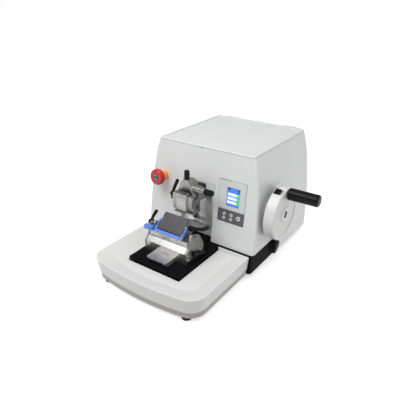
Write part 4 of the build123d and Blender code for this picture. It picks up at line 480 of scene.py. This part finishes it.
# Dark bar across the slot's top end: painted shade of the gap above the carriage
flat_piece("slot_top_painted_shade", "base", RECESS, [rounded(38.0, 6.4, 1.2, middle=(0.8, 200.2))], 0.45, 0.6,
           DARK_MARK_AND_SHADE)

# Screws of the head and of the knife holder's cheeks, by y and z
CARRIER_SIDE = side_face(21.3, 1)
RIGHT_CHEEK, LEFT_CHEEK = side_face(54.0, 1), side_face(-67.0, -1)
CHEEK_SCREWS = [(-137.5, 72.0), (-92.0, 76.0)]
screws("carrier_screws", "tilt", CARRIER_SIDE, [(-74.5, 161.5), (-74.5, 188.5)], 2.2, height=1.2)
screws("right_cheek_screws", "holder", RIGHT_CHEEK, CHEEK_SCREWS, 2.8)
screws("left_cheek_screws", "holder", LEFT_CHEEK, [(-y, z) for y, z in CHEEK_SCREWS], 2.8)

# Set screws in the front of the segment
SEGMENT = Face((0, -133.0, 0), (1, 0, 0), (0, -1, 0))
SET_SCREW_Z, SET_SCREW_PITCH = 98.5, 37.0
SET_SCREW = [(2.0, -1.0, 0), (2.0, 0.1, 0), (1.1, 0.1, 6), (1.0, -0.7, 6)]
turned_piece("segment_set_screws", "rocker_segment", SEGMENT,
             [(ARM_X + side * SET_SCREW_PITCH, SET_SCREW_Z) for side in (-1, 0, 1)],
             SET_SCREW, DARK_MARK_AND_SHADE)

# Scale of the clearance angle around the segment's centre: long and short lines beside the slot
SEGMENT_CENTRE = Vector((-97.0, 150.2))
SCALE_MIDDLE, SCALE_STEP, SCALE_HALF_LINE = -72, 2.0, 0.18
SCALE_NEAR, SCALE_FAR, SCALE_FAR_LONG = 49.0, 51.5, 53.5


def scale_line(k):
    """Outline of one line of the scale; every fifth is long."""
    along = Vector(polar(1.0, SCALE_MIDDLE + k * SCALE_STEP))
    across = Vector((-along.y, along.x)) * SCALE_HALF_LINE
    far = SCALE_FAR if k % 5 else SCALE_FAR_LONG
    near_end, far_end = SEGMENT_CENTRE + along * SCALE_NEAR, SEGMENT_CENTRE + along * far
    return [tuple(near_end - across), tuple(far_end - across), tuple(far_end + across),
            tuple(near_end + across)]


flat_piece("angle_scale", "holder", RIGHT_CHEEK, [scale_line(k) for k in range(-5, 6)], -MARK_SUNK, 0.06,
           DARK_MARK_AND_SHADE)

# Line cut across the rail's top
RAIL = Face((ARM_X, 0, RAIL_TOP), (1, 0, 0), (0, 0, 1))
flat_piece("rail_line", "base", RAIL, [rectangle(-14.0, -146.4, 13.0, -145.6)], -MARK_SUNK, 0.02,
           DARK_MARK_AND_SHADE)

# Catch hole in the lid's front seam, drawn as a dark patch of painted shade in place of the hole's depth
LID_SEAM = front_face(-4.8, 285.5)
flat_piece("lid_catch_painted_shade", "base", LID_SEAM, [rounded(5.0, 1.9, 0.8)], -0.4, 0.05, DARK_MARK_AND_SHADE)

# Screws of the rear panel
REAR = rear_face(0.0, 165.0)
screws("rear_panel_screws", "base", REAR, [(a, b) for a in (-100, 0, 100) for b in (-74, 74)], 2.8)

# Ring in the end of the hand grip
GRIP_ARM, GRIP_ANGLE, GRIP_END_X = 50.7, 82.0, 268.0
across, up = polar(GRIP_ARM, GRIP_ANGLE)
GRIP_END = Face((GRIP_END_X, SHAFT_Y + across, SHAFT_Z + up), (0, 1, 0), (1, 0, 0))
GRIP_RING = [(7.6, -0.4, 0), (7.6, 0.25, 0), (7.1, 0.45, 0), (6.0, 0.45, 0), (5.6, 0.1, 0)]
turned_piece("grip_end_plug", "grip", GRIP_END, [(0.0, 0.0)], GRIP_RING, MATERIALS["black_plastic"],
             count=40)

# White floor and white backdrop, which are seen but don't light the part
FLOOR_SIZE, FLOOR_Z, FLOOR_GLOW = 400, -0.0005, 0.55
BACKDROP_RADIUS = 60


def white_material(name, colour, strength, settings):
    """White glow over a plain colour."""
    material = bpy.data.materials.new(name)
    material.use_nodes = True
    put(material.node_tree.nodes["Principled BSDF"],
        {"Base Color": colour, "Emission Color": WHITE, "Emission Strength": strength, **settings})
    return material


bpy.ops.mesh.primitive_plane_add(size=FLOOR_SIZE, location=(0, 0, FLOOR_Z))
floor = bpy.context.object
floor.name = "floor"
floor.data.materials.append(white_material("floor", (0.93, 0.93, 0.93, 1), FLOOR_GLOW, {"Roughness": 0.8}))
floor.visible_diffuse = False

bpy.ops.mesh.primitive_uv_sphere_add(radius=BACKDROP_RADIUS, location=(0, 0, 0))
backdrop = bpy.context.object
backdrop.name = "backdrop"
backdrop.data.materials.append(white_material("backdrop", (0, 0, 0, 1), 1.0, {"Specular IOR Level": 0.0}))
backdrop.visible_diffuse = False
backdrop.visible_glossy = False
backdrop.visible_shadow = False

# Sky that is brighter above and towards the wheel's side
SKY_SIDE = (0.8, 0.0, 0.6)
SKY_FULL = 0.9
SKY_LOW, SKY_HIGH = 0.40, 0.80

world = bpy.data.worlds.new("studio")
bpy.context.scene.world = world
world.use_nodes = True
sky = world.node_tree.nodes["Background"]
put(sky, {"Color": WHITE})
n = Nodes(world.node_tree)
dot = n.add("ShaderNodeVectorMath", {1: SKY_SIDE}, operation="DOT_PRODUCT")
n.link(n.place, "Generated", dot, 0)
n.link(n.spread(dot, "Value", SKY_LOW, SKY_HIGH, 0.0, SKY_FULL), "Result", sky, "Strength")

# Key light from the front left, high above the tray
LIGHT_PLACE, LIGHT_TARGET = (-0.35, -1.0, 1.9), (0, 0, 0.15)
LIGHT_SIZE, LIGHT_POWER = 1.4, 27

light = bpy.data.lights.new("key_light", "AREA")
light.size = LIGHT_SIZE
light.energy = LIGHT_POWER
lamp = bpy.data.objects.new("key_light", light)
lamp.location = LIGHT_PLACE
lamp.rotation_euler = (Vector(LIGHT_TARGET) - Vector(LIGHT_PLACE)).to_track_quat("-Z", "Y").to_euler()
bpy.context.scene.collection.objects.link(lamp)
